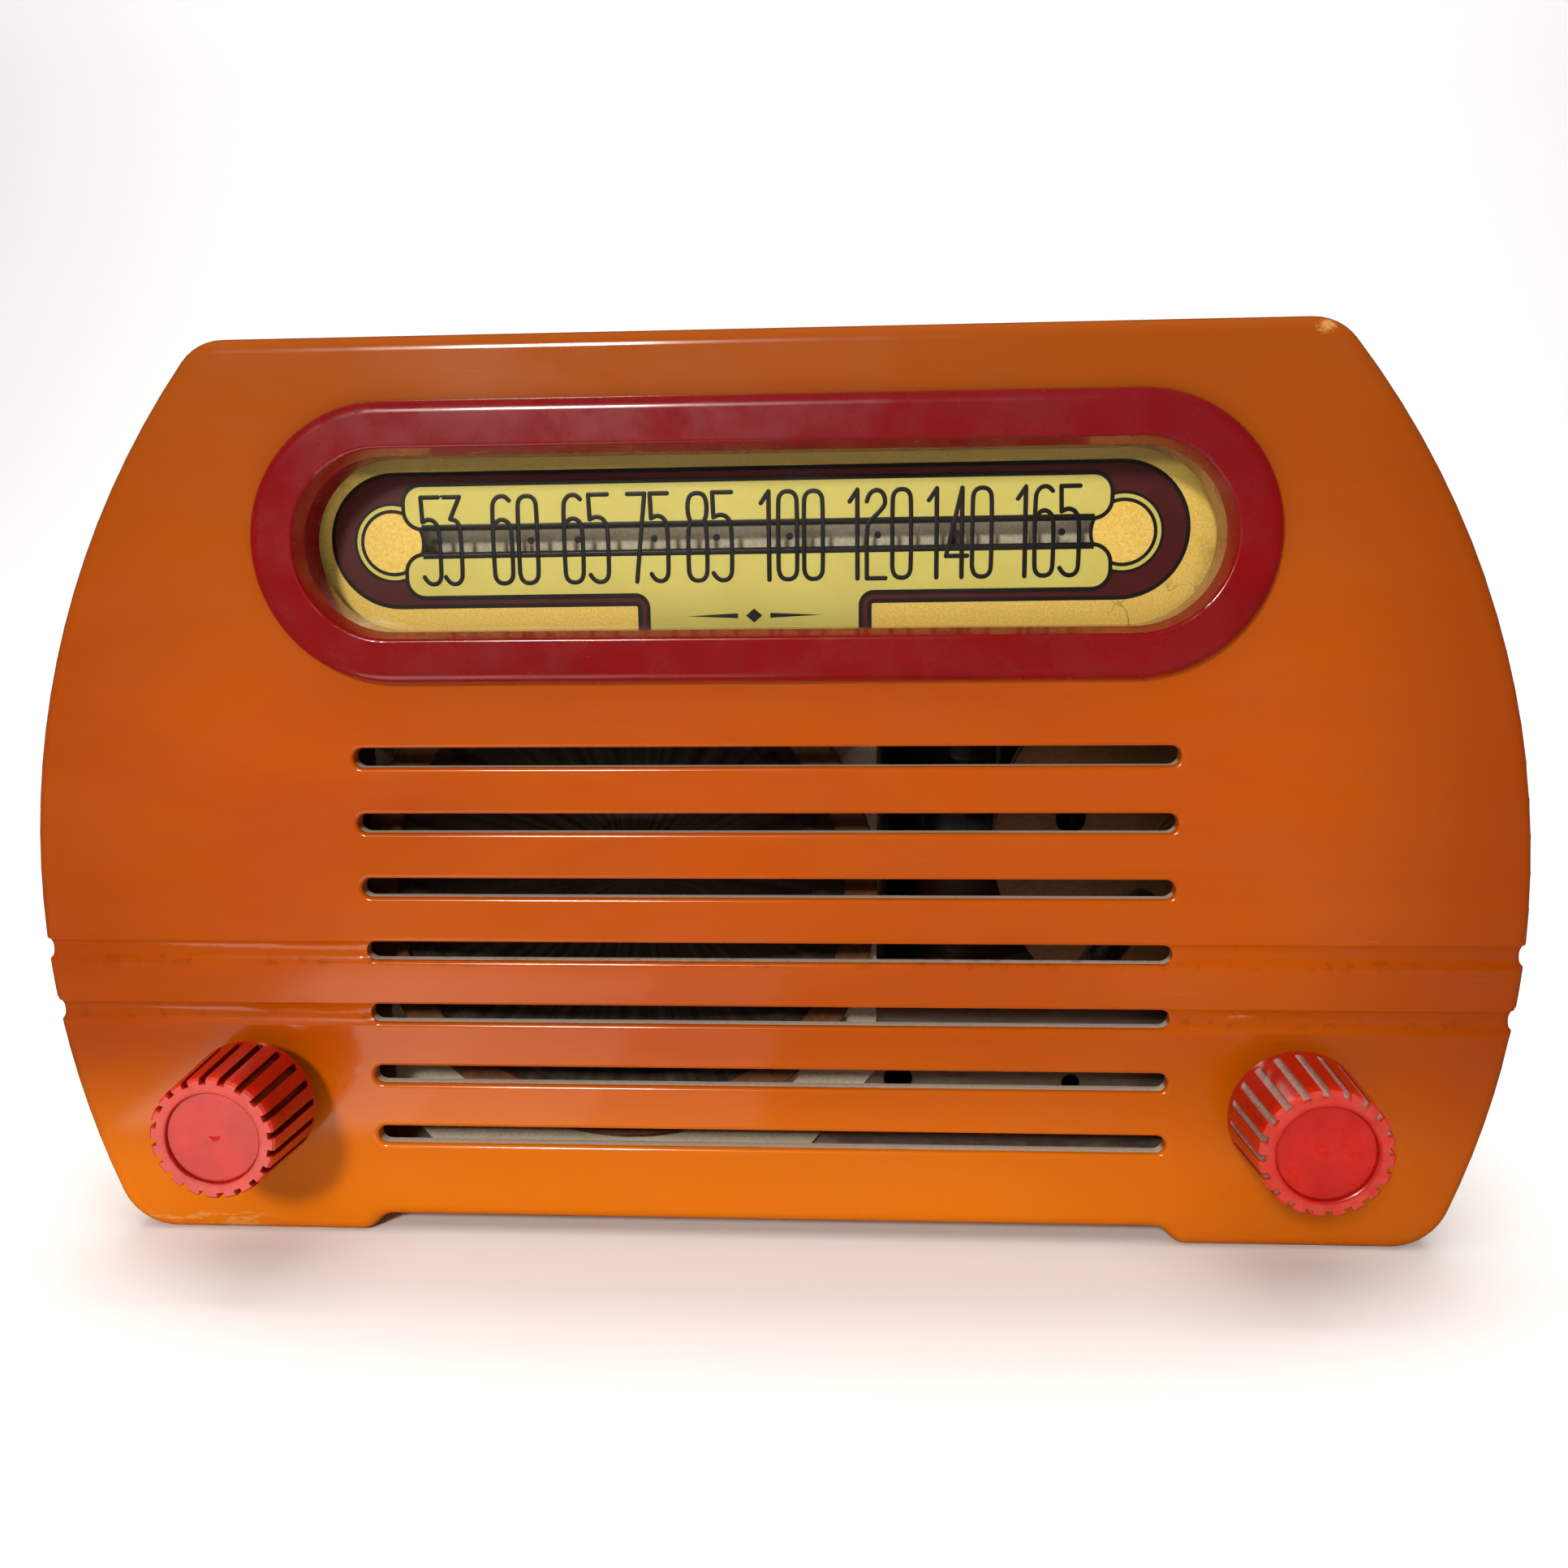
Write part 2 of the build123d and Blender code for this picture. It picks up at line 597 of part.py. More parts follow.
DRUM_FRONT = CORD_DEPTH - DRUM_T / 2
HUB_R = 6.5
HUB_BACK = CORD_DEPTH + 6.5
DRUM_WEB_T = 1.2
with BuildPart() as tuning_drum:
    add(cord_wheel(DRUM_X, DRUM_Z, GROOVE_R - 2.2, GROOVE_R, DRUM_R, DRUM_FRONT, DRUM_T, 1.5))
    revolve(axis=turning(DRUM_X, DRUM_Z))
    # web with three round windows, one slot for the tension spring, and the hub
    with BuildSketch(at(DRUM_FRONT)):
        with Locations((DRUM_X, DRUM_Z)):
            Circle(GROOVE_R - 2.0)
            Circle(SHAFT_R, mode=Mode.SUBTRACT)
            with PolarLocations(23.3, 3, start_angle=167.4):
                Circle(3.0, mode=Mode.SUBTRACT)
            with Locations(Location((-13.5, -19.5, 0), (0, 0, 55))):
                SlotOverall(24, 7, mode=Mode.SUBTRACT)
    extrude(amount=-DRUM_WEB_T)
    with BuildSketch(at(DRUM_FRONT - 1.5)):
        with Locations((DRUM_X, DRUM_Z)):
            Circle(HUB_R)
            Circle(SHAFT_R, mode=Mode.SUBTRACT)
    extrude(amount=-(HUB_BACK - DRUM_FRONT + 1.5))
tuning_drum.part.label = "tuning_drum"
export_step(tuning_drum.part, "parts/tuning_drum.step")

# the spring that keeps the cord tight lies in the drum's slot, along its length
SPRING_R = 1.6
SPRING_WIRE_R = 0.3
SPRING_TURNS = 21
SPRING_PITCH = 0.5
spring_x, spring_z = DRUM_X - 13.5, DRUM_Z - 19.5
spring_depth = DRUM_FRONT + 2.6
spring_turn = math.radians(55)
spring_dir = Vector(math.cos(spring_turn), 0, math.sin(spring_turn))
spring_middle = Vector(spring_x, FACE_Y + spring_depth, spring_z)
spring_plane = Plane(
    origin=spring_middle, x_dir=(0, 1, 0), z_dir=(math.sin(spring_turn), 0, -math.cos(spring_turn))
)
with BuildPart() as cord_spring:
    # close-wound turns
    with BuildSketch(spring_plane):
        for i in range(SPRING_TURNS):
            with Locations((SPRING_R, (i - (SPRING_TURNS - 1) / 2) * SPRING_PITCH)):
                Circle(SPRING_WIRE_R)
    revolve(axis=Axis(spring_middle, spring_dir))
    # an eye at each end
    for end in (-1, 1):
        reach = end * (SPRING_TURNS - 1) / 2 * SPRING_PITCH
        eye_x = spring_x + reach * math.cos(spring_turn)
        eye_z = spring_z + reach * math.sin(spring_turn)
        with BuildSketch(turned(eye_x, eye_z)):
            with Locations((SPRING_R, spring_depth)):
                Circle(SPRING_WIRE_R)
        revolve(axis=turning(eye_x, eye_z))
cord_spring.part.label = "cord_spring"
export_step(cord_spring.part, "parts/cord_spring.step")

# ---------------------------------------------------------------- knobs and shafts
KNOB_LENGTH = KNOB_REACH + KNOB_BACK
KNOB_SLOPE = math.degrees(math.atan((KNOB_BACK_R - KNOB_FRONT_R) / KNOB_LENGTH))
SHAFT_FRONT = -KNOB_REACH + 5.0
BUSH_R = 4.75
BUSH_FRONT = CHASSIS_FRONT - 7.0
NUT_T = 2.2


def flute_plane(x, angle):
    """Plane along a knob's tapered side: local x is across the flute, local y runs back."""
    mid_r = (KNOB_FRONT_R + KNOB_BACK_R) / 2
    mid_depth = (KNOB_BACK - KNOB_REACH) / 2
    turn = math.radians(angle)
    slope = math.radians(KNOB_SLOPE)
    out = Vector(math.cos(turn), 0, math.sin(turn))
    back = Vector(0, math.cos(slope), 0) + out * math.sin(slope)
    normal = out * math.cos(slope) - Vector(0, math.sin(slope), 0)
    across = back.cross(normal)
    return Plane(
        origin=Vector(x, FACE_Y + mid_depth, KNOB_Z) + out * mid_r,
        x_dir=across,
        z_dir=normal,
    )


def knob_body(x):
    """A fluted knob: hollow skirt, shaft socket, and a shallow dished disc in its front."""
    back, front = KNOB_BACK, -KNOB_REACH
    with BuildPart() as knob:
        with BuildSketch(turned(x, KNOB_Z)):
            with BuildLine():
                Polyline(
                    (SHAFT_R + 0.05, back + 0.4),
                    (SHAFT_R + 0.05, SHAFT_FRONT - 0.3),
                    (0, SHAFT_FRONT - 0.3),
                    (0, front + 1.3),
                )
                TangentArc((0, front + 1.3), (KNOB_DISC_R - 0.5, front + 0.8), tangent=(1, 0))
                Polyline(
                    (KNOB_DISC_R - 0.5, front + 0.8),
                    (KNOB_DISC_R - 0.2, front + 0.75),
                    (KNOB_DISC_R, front + 0.15),
                    (KNOB_DISC_R + 0.2, front),
                    (KNOB_FRONT_R - 0.4, front),
                    (KNOB_FRONT_R, front + 0.4),
                    (KNOB_BACK_R, back - 0.4),
                    (KNOB_BACK_R - 0.4, back),
                    (KNOB_BACK_R - 2.0, back),
                    (KNOB_FRONT_R - 3.2, front + 4.5),
                    (SHAFT_R + 2.6, front + 4.5),
                    (SHAFT_R + 2.6, back + 0.4),
                    (SHAFT_R + 0.05, back + 0.4),
                )
            make_face()
        revolve(axis=turning(x, KNOB_Z))
        length = KNOB_LENGTH - FLUTE_END
        for i in range(FLUTES):
            plane = flute_plane(x, i * 360 / FLUTES + 4)
            with BuildSketch(plane.offset(-FLUTE_DEPTH)):
                with Locations((0, -FLUTE_END / 2 - 1.5)):
                    SlotOverall(length + 3, FLUTE_W, rotation=90)
            extrude(amount=FLUTE_DEPTH + 2, mode=Mode.SUBTRACT)
    return knob


def control_shaft(x, back, neck):
    """A control shaft, flatted where the knob grips it, with a neck if a cord drives it."""
    with BuildPart() as shaft:
        with BuildSketch(at(SHAFT_FRONT)):
            with Locations((x, KNOB_Z)):
                Circle(SHAFT_R)
        extrude(amount=-(back - SHAFT_FRONT))
        chamfer(shaft.edges().group_by(Axis.Y)[0], 0.4)
        block(
            x - 4, x + 4, SHAFT_FRONT - 1, SHAFT_FRONT + 11,
            KNOB_Z + SHAFT_R - 0.8, KNOB_Z + 5, mode=Mode.SUBTRACT,
        )
        if neck:
            with BuildSketch(at(CORD_DEPTH - 2.0)):
                with Locations((x, KNOB_Z)):
                    Circle(SHAFT_R + 1)
                    Circle(NECK_R, mode=Mode.SUBTRACT)
            extrude(amount=-4.0, mode=Mode.SUBTRACT)
            with BuildSketch(at(back - 2.4)):
                with Locations((x, KNOB_Z)):
                    Circle(SHAFT_R + 1)
                    Circle(SHAFT_R - 0.6, mode=Mode.SUBTRACT)
            extrude(amount=-0.9, mode=Mode.SUBTRACT)
    return shaft


volume_knob = knob_body(-KNOB_X)
volume_knob.part.label = "volume_knob"
export_step(volume_knob.part, "parts/volume_knob.step")

tuning_knob = knob_body(KNOB_X)
tuning_knob.part.label = "tuning_knob"
export_step(tuning_knob.part, "parts/tuning_knob.step")

POT_BACK = CHASSIS_FRONT + SHEET + 12.0
TUNING_SHAFT_BACK = CHASSIS_FRONT + SHEET + 22.0
volume_shaft = control_shaft(-KNOB_X, POT_BACK - 3, False)
volume_shaft.part.label = "volume_shaft"
export_step(volume_shaft.part, "parts/volume_shaft.step")

tuning_shaft = control_shaft(KNOB_X, TUNING_SHAFT_BACK, True)
tuning_shaft.part.label = "tuning_shaft"
export_step(tuning_shaft.part, "parts/tuning_shaft.step")


def knob_spring(x):
    """Leaf spring on the shaft's flat, inside the knob's socket."""
    with BuildPart() as spring:
        top = KNOB_Z + SHAFT_R - 0.8
        block(x - 1.7, x + 1.7, SHAFT_FRONT + 0.2, SHAFT_FRONT + 9.5, top + 0.02, top + 0.4)
    return spring


volume_knob_spring = knob_spring(-KNOB_X)
volume_knob_spring.part.label = "volume_knob_spring"
export_step(volume_knob_spring.part, "parts/volume_knob_spring.step")

tuning_knob_spring = knob_spring(KNOB_X)
tuning_knob_spring.part.label = "tuning_knob_spring"
export_step(tuning_knob_spring.part, "parts/tuning_knob_spring.step")

with BuildPart() as shaft_clip:
    with BuildSketch(at(TUNING_SHAFT_BACK - 2.35)):
        with Locations((KNOB_X, KNOB_Z)):
            Circle(5.4)
            Circle(SHAFT_R - 0.55, mode=Mode.SUBTRACT)
            with Locations((0, -4)):
                Rectangle(3.4, 8, mode=Mode.SUBTRACT)
    extrude(amount=-0.8)
shaft_clip.part.label = "shaft_clip"
export_step(shaft_clip.part, "parts/shaft_clip.step")

# volume control with its mains switch at the back; the threaded bush faces forward
with BuildPart() as volume_control:
    with BuildSketch(at(CHASSIS_FRONT + SHEET)):
        with Locations((-KNOB_X, KNOB_Z)):
            Circle(11.0)
    extrude(amount=-11.0)
    fillet(volume_control.edges().group_by(Axis.Y)[-1], 1.0)
    with BuildSketch(at(CHASSIS_FRONT + SHEET + 11.0)):
        with Locations((-KNOB_X, KNOB_Z)):
            Circle(9.5)
    extrude(amount=-8.0)
    with BuildSketch(at(BUSH_FRONT)):
        with Locations((-KNOB_X, KNOB_Z)):
            Circle(BUSH_R)
    extrude(amount=-(CHASSIS_FRONT + SHEET - BUSH_FRONT))
    # three solder lugs below
    for lug in (-1, 0, 1):
        block(
            -KNOB_X + lug * 5.5 - 1.1, -KNOB_X + lug * 5.5 + 1.1,
            CHASSIS_FRONT + SHEET + 3.0, CHASSIS_FRONT + SHEET + 3.7,
            KNOB_Z - 16.5, KNOB_Z - 8.0,
        )
    with BuildSketch(at(BUSH_FRONT - 1)):
        with Locations((-KNOB_X, KNOB_Z)):
            Circle(SHAFT_R + RUN_FIT)
    extrude(amount=-(POT_BACK - 2.5 - BUSH_FRONT + 1), mode=Mode.SUBTRACT)
volume_control.part.label = "volume_control"
export_step(volume_control.part, "parts/volume_control.step")

with BuildPart() as tuning_bush:
    with BuildSketch(turned(KNOB_X, KNOB_Z)):
        with BuildLine():
            Polyline(
                (SHAFT_R + RUN_FIT, BUSH_FRONT),
                (BUSH_R, BUSH_FRONT),
                (BUSH_R, CHASSIS_FRONT + SHEET),
                (BUSH_R + 1.8, CHASSIS_FRONT + SHEET),
                (BUSH_R + 1.8, CHASSIS_FRONT + SHEET + 2.0),
                (SHAFT_R + RUN_FIT, CHASSIS_FRONT + SHEET + 2.0),
                close=True,
            )
        make_face()
    revolve(axis=turning(KNOB_X, KNOB_Z))
tuning_bush.part.label = "tuning_bush"
export_step(tuning_bush.part, "parts/tuning_bush.step")

with BuildPart() as control_nuts:
    with BuildSketch(at(CHASSIS_FRONT - NUT_T)):
        with Locations((-KNOB_X, KNOB_Z), (KNOB_X, KNOB_Z)):
            RegularPolygon(7.6, 6)
            Circle(BUSH_R + 0.02, mode=Mode.SUBTRACT)
    extrude(amount=-NUT_T)
control_nuts.part.label = "control_nuts"
export_step(control_nuts.part, "parts/control_nuts.step")

# ---------------------------------------------------------------- tuning capacitor
GANG_HALF = 21.0
GANG_FRONT = HUB_BACK + 1.5
GANG_BACK = GANG_FRONT + 42.0
GANG_PLATE_T = 1.5
GANG_BASE = CHASSIS_TOP
GANG_CROWN = DRUM_Z + 21.6
SECTIONS = (GANG_FRONT + 4.0, GANG_FRONT + 23.0)
PLATE_GAP = 1.3
ROTOR_PLATES = 6
ROTOR_R = 18.0
ROTOR_PLATE_T = 0.6
OPENED = 150.0
with BuildPart() as capacitor_frame:
    for front in (GANG_FRONT, GANG_BACK - GANG_PLATE_T):
        with BuildSketch(at(front)):
            with BuildLine():
                Polyline(
                    (DRUM_X - GANG_HALF, GANG_BASE),
                    (DRUM_X + GANG_HALF, GANG_BASE),
                    (DRUM_X + GANG_HALF, GANG_CROWN - 12),
                    (DRUM_X + GANG_HALF - 12, GANG_CROWN),
                    (DRUM_X - GANG_HALF, GANG_CROWN),
                    close=True,
                )
            make_face()
            with Locations((DRUM_X, DRUM_Z)):
                Circle(SHAFT_R + RUN_FIT, mode=Mode.SUBTRACT)
        extrude(amount=-GANG_PLATE_T)
    for x0 in (DRUM_X - GANG_HALF, DRUM_X + GANG_HALF - GANG_PLATE_T):
        block(x0, x0 + GANG_PLATE_T, GANG_FRONT, GANG_BACK, GANG_BASE, GANG_BASE + 9)
    block(
        DRUM_X - GANG_HALF, DRUM_X + GANG_HALF, GANG_FRONT, GANG_BACK,
        GANG_BASE, GANG_BASE + GANG_PLATE_T,
    )
    # wall between the two sections
    wall = (GANG_FRONT + GANG_BACK) / 2
    block(
        DRUM_X - GANG_HALF, DRUM_X + GANG_HALF, wall - 0.5, wall + 0.5,
        GANG_BASE, DRUM_Z - 6,
    )
capacitor_frame.part.label = "capacitor_frame"
export_step(capacitor_frame.part, "parts/capacitor_frame.step")


def half_disc(radius, angle):
    """A half disc round the capacitor's axis, bulging towards angle."""
    with BuildSketch() as half:
        with BuildLine():
            ThreePointArc((0, -radius), (radius, 0), (0, radius))
            Line((0, radius), (0, -radius))
        make_face()
    return half.sketch.rotate(Axis.Z, angle).moved(Location((DRUM_X, DRUM_Z, 0)))


with BuildPart() as capacitor_rotor:
    with BuildSketch(at(DRUM_FRONT - 3.0)):
        with Locations((DRUM_X, DRUM_Z)):
            Circle(SHAFT_R)
    extrude(amount=-(GANG_BACK + 1.5 - DRUM_FRONT + 3.0))
    for section in SECTIONS:
        for i in range(ROTOR_PLATES):
            with BuildSketch(at(section + 2 * i * PLATE_GAP)):
                add(half_disc(ROTOR_R, 180 - OPENED))
                with Locations((DRUM_X, DRUM_Z)):
                    Circle(SHAFT_R + 1.4)
            extrude(amount=-ROTOR_PLATE_T)
        # comb that spaces the plates, at the back of their straight edge
        span = 2 * (ROTOR_PLATES - 1) * PLATE_GAP + ROTOR_PLATE_T
        with BuildSketch(at(section)):
            with Locations((DRUM_X, DRUM_Z)):
                Circle(SHAFT_R + 0.9)
        extrude(amount=-span)
capacitor_rotor.part.label = "capacitor_rotor"
export_step(capacitor_rotor.part, "parts/capacitor_rotor.step")

STATOR_R = 19.4
with BuildPart() as capacitor_stators:
    for section in SECTIONS:
        for i in range(ROTOR_PLATES - 1):
            front = section + (2 * i + 1) * PLATE_GAP
            with BuildSketch(at(front)):
                add(half_disc(STATOR_R, 180))
                with Locations((DRUM_X, DRUM_Z)):
                    Circle(SHAFT_R + 2.2, mode=Mode.SUBTRACT)
            extrude(amount=-ROTOR_PLATE_T)
        first = section + PLATE_GAP
        last = section + (2 * ROTOR_PLATES - 3) * PLATE_GAP + ROTOR_PLATE_T
        # bars that join the stator plates beyond the rotor's reach
        for bar_z in (DRUM_Z - 7, DRUM_Z + 7):
            block(DRUM_X - STATOR_R - 0.6, DRUM_X - ROTOR_R - 0.5, first, last, bar_z - 1, bar_z + 1)
capacitor_stators.part.label = "capacitor_stators"
export_step(capacitor_stators.part, "parts/capacitor_stators.step")

with BuildPart() as capacitor_insulators:
    for section in SECTIONS:
        first = section + PLATE_GAP
        last = section + (2 * ROTOR_PLATES - 3) * PLATE_GAP + ROTOR_PLATE_T
        block(
            DRUM_X - GANG_HALF, DRUM_X - STATOR_R - 0.6,
            first - 1, last + 1, GANG_BASE + 9, DRUM_Z + 10,
        )
capacitor_insulators.part.label = "capacitor_insulators"
export_step(capacitor_insulators.part, "parts/capacitor_insulators.step")

with BuildPart() as trimmers:
    for section in SECTIONS:
        front = section + 2.5
        block(DRUM_X - 12, DRUM_X + 2, front, front + 9, GANG_CROWN - 1.5, GANG_CROWN)
        block(DRUM_X - 11, DRUM_X + 1, front + 0.5, front + 8.5, GANG_CROWN, GANG_CROWN + 1.6)
        with BuildSketch(Plane.XY.offset(GANG_CROWN + 1.6)):
            with Locations((DRUM_X - 5, FACE_Y + front + 4.5)):
                Circle(2.4)
        extrude(amount=1.3)
        block(
            DRUM_X - 7.5, DRUM_X - 2.5, front + 4.1, front + 4.9,
            GANG_CROWN + 2.2, GANG_CROWN + 3.5, mode=Mode.SUBTRACT,
        )
        # strap down to the frame's nearer end plate
        near = GANG_FRONT + GANG_PLATE_T if section == SECTIONS[0] else GANG_BACK - GANG_PLATE_T
        block(DRUM_X - 8, DRUM_X - 2, near, front + 4, GANG_CROWN - 1.5, GANG_CROWN)
trimmers.part.label = "trimmers"
export_step(trimmers.part, "parts/trimmers.step")

# ---------------------------------------------------------------- loudspeaker
BASKET_BACK = 36.0
BASKET_BACK_R = 22.0
MAGNET_R = 18.5
MAGNET_BACK = 57.0
CONE_THROAT_R = 12.0
CONE_BACK = 29.0
RIM_DEPTH = BAFFLE_DEPTH - 1.0
CONE_RIM_DEPTH = RIM_DEPTH - 0.3
GASKET_FRONT = CONE_RIM_DEPTH - 1.6
RIVET_R = 53.4
RIVET_ANGLES = (35, 145, 215, 325)
with BuildPart() as speaker_baffle:
    with BuildSketch(at(BAFFLE_DEPTH)):
        with BuildLine():
            Polyline(
                (-76.5, 22),
                (-68.8, 13),
                (7.6, 13),
                (21.5, 30),
                (21.5, 112),
                (-76.5, 112),
                close=True,
            )
        make_face()
        with Locations((SPEAKER_X, SPEAKER_Z)):
            Circle(BASKET_R + 0.6, mode=Mode.SUBTRACT)
            for angle in RIVET_ANGLES:
                with PolarLocations(RIVET_R, 1, start_angle=angle):
                    Circle(1.25, mode=Mode.SUBTRACT)
        with Locations((-70, 36), (16, 36)):
            Circle(1.65, mode=Mode.SUBTRACT)
    extrude(amount=-BAFFLE_T)
speaker_baffle.part.label = "speaker_baffle"
export_step(speaker_baffle.part, "parts/speaker_baffle.step")

with BuildPart() as speaker_frame:
    with BuildSketch(turned(SPEAKER_X, SPEAKER_Z)):
        with BuildLine():
            Polyline(
                (BASKET_R - 1, RIM_DEPTH),
                (SPEAKER_R, RIM_DEPTH),
                (SPEAKER_R, BAFFLE_DEPTH),
                (BASKET_R, BAFFLE_DEPTH),
                (BASKET_R - 1, BAFFLE_DEPTH + 3),
                (BASKET_BACK_R + 1, BASKET_BACK),
                (CONE_THROAT_R - 1, BASKET_BACK),
                (CONE_THROAT_R - 1, BASKET_BACK - 1),
                (BASKET_BACK_R, BASKET_BACK - 1),
                (BASKET_R - 2, BAFFLE_DEPTH + 2.5),
                close=True,
            )
        make_face()
    revolve(axis=turning(SPEAKER_X, SPEAKER_Z))
    # ears that take the four rivets
    with BuildSketch(at(RIM_DEPTH)):
        with Locations((SPEAKER_X, SPEAKER_Z)):
            for angle in RIVET_ANGLES:
                with PolarLocations(RIVET_R - 1, 1, start_angle=angle):
                    SlotOverall(11, 7)
            Circle(SPEAKER_R - 1, mode=Mode.SUBTRACT)
            for angle in RIVET_ANGLES:
                with PolarLocations(RIVET_R, 1, start_angle=angle):
                    Circle(1.25, mode=Mode.SUBTRACT)
    extrude(amount=-1.0)
    # four windows in the basket's slope
    with BuildSketch(at(BASKET_BACK - 4)):
        with Locations((SPEAKER_X, SPEAKER_Z)):
            with PolarLocations(32, 4, start_angle=0):
                RectangleRounded(13, 26, 3)
    extrude(amount=15, mode=Mode.SUBTRACT)
speaker_frame.part.label = "speaker_frame"
export_step(speaker_frame.part, "parts/speaker_frame.step")

with BuildPart() as speaker_cone:
    # rim, one half-roll of surround, and the straight-sided paper cone
    with BuildSketch(turned(SPEAKER_X, SPEAKER_Z)):
        with BuildLine():
            rim = Line((48.5, CONE_RIM_DEPTH), (41.5, CONE_RIM_DEPTH))
            roll = ThreePointArc(rim @ 1, (39.7, CONE_RIM_DEPTH - 1.2), (38, CONE_RIM_DEPTH + 0.3))
            wall = Line(roll @ 1, (CONE_THROAT_R, CONE_BACK))
            Polyline(
                wall @ 1,
                (CONE_THROAT_R, CONE_BACK + 0.6),
                (CONE_THROAT_R + 0.5, CONE_BACK + 0.6),
                (38.1, CONE_RIM_DEPTH + 0.9),
            )
            under = ThreePointArc(
                (38.1, CONE_RIM_DEPTH + 0.9), (39.7, CONE_RIM_DEPTH - 0.8), (41.2, CONE_RIM_DEPTH + 0.3)
            )
            Polyline(under @ 1, (48.5, CONE_RIM_DEPTH + 0.3), (48.5, CONE_RIM_DEPTH))
        make_face()
    revolve(axis=turning(SPEAKER_X, SPEAKER_Z))
    # voice coil former behind the cone
    with BuildSketch(at(CONE_BACK + 0.6)):
        with Locations((SPEAKER_X, SPEAKER_Z)):
            Circle(CONE_THROAT_R - 1.6)
            Circle(CONE_THROAT_R - 2.0, mode=Mode.SUBTRACT)
    extrude(amount=-9)
    with BuildSketch(at(CONE_BACK + 0.2)):
        with Locations((SPEAKER_X, SPEAKER_Z)):
            Circle(CONE_THROAT_R + 0.2)
            Circle(CONE_THROAT_R - 2.0, mode=Mode.SUBTRACT)
    extrude(amount=-0.4)
speaker_cone.part.label = "speaker_cone"
export_step(speaker_cone.part, "parts/speaker_cone.step")

with BuildPart() as speaker_dust_cap:
    with BuildSketch(turned(SPEAKER_X, SPEAKER_Z)):
        with BuildLine():
            TangentArc((0, CONE_BACK - 4.2), (11.4, CONE_BACK), tangent=(1, 0))
            Line((11.4, CONE_BACK), (10.9, CONE_BACK + 0.1))
            TangentArc((0, CONE_BACK - 3.7), (10.9, CONE_BACK + 0.1), tangent=(1, 0))
            Line((0, CONE_BACK - 3.7), (0, CONE_BACK - 4.2))
        make_face()
    revolve(axis=turning(SPEAKER_X, SPEAKER_Z))
speaker_dust_cap.part.label = "speaker_dust_cap"
export_step(speaker_dust_cap.part, "parts/speaker_dust_cap.step")

with BuildPart() as speaker_gasket:
    with BuildSketch(at(GASKET_FRONT)):
        with Locations((SPEAKER_X, SPEAKER_Z)):
            Circle(SPEAKER_R)
            Circle(SPEAKER_R - 6.4, mode=Mode.SUBTRACT)
    extrude(amount=-(CONE_RIM_DEPTH - GASKET_FRONT))
    fillet(speaker_gasket.edges().group_by(Axis.Y)[0], 0.4)
speaker_gasket.part.label = "speaker_gasket"
export_step(speaker_gasket.part, "parts/speaker_gasket.step")

with BuildPart() as speaker_magnet:
    with BuildSketch(at(BASKET_BACK)):
        with Locations((SPEAKER_X, SPEAKER_Z)):
            Circle(MAGNET_R)
    extrude(amount=-(MAGNET_BACK - BASKET_BACK))
    fillet(speaker_magnet.edges().group_by(Axis.Y)[-1], 2.5)
    # gap that the voice coil moves in
    with BuildSketch(at(BASKET_BACK)):
        with Locations((SPEAKER_X, SPEAKER_Z)):
            Circle(CONE_THROAT_R - 1.1)
            Circle(CONE_THROAT_R - 2.6, mode=Mode.SUBTRACT)
    extrude(amount=-6, mode=Mode.SUBTRACT)
speaker_magnet.part.label = "speaker_magnet"
export_step(speaker_magnet.part, "parts/speaker_magnet.step")

with BuildPart() as speaker_rivets:
    for angle in RIVET_ANGLES:
        turn = math.radians(angle)
        x = SPEAKER_X + RIVET_R * math.cos(turn)
        z = SPEAKER_Z + RIVET_R * math.sin(turn)
        with BuildSketch(turned(x, z)):
            with BuildLine():
                Polyline((0, RIM_DEPTH - 1.0), (1.0, RIM_DEPTH - 0.9), (2.0, RIM_DEPTH - 0.5))
                Polyline(
                    (2.0, RIM_DEPTH - 0.5),
                    (2.2, RIM_DEPTH),
                    (1.2, RIM_DEPTH),
                    (1.2, CHASSIS_FRONT),
                    (2.0, CHASSIS_FRONT),
                    (1.8, CHASSIS_FRONT + 0.7),
                    (0, CHASSIS_FRONT + 0.7),
                    (0, RIM_DEPTH - 1.0),
                )
            make_face()
        revolve(axis=turning(x, z))
speaker_rivets.part.label = "speaker_rivets"
export_step(speaker_rivets.part, "parts/speaker_rivets.step")

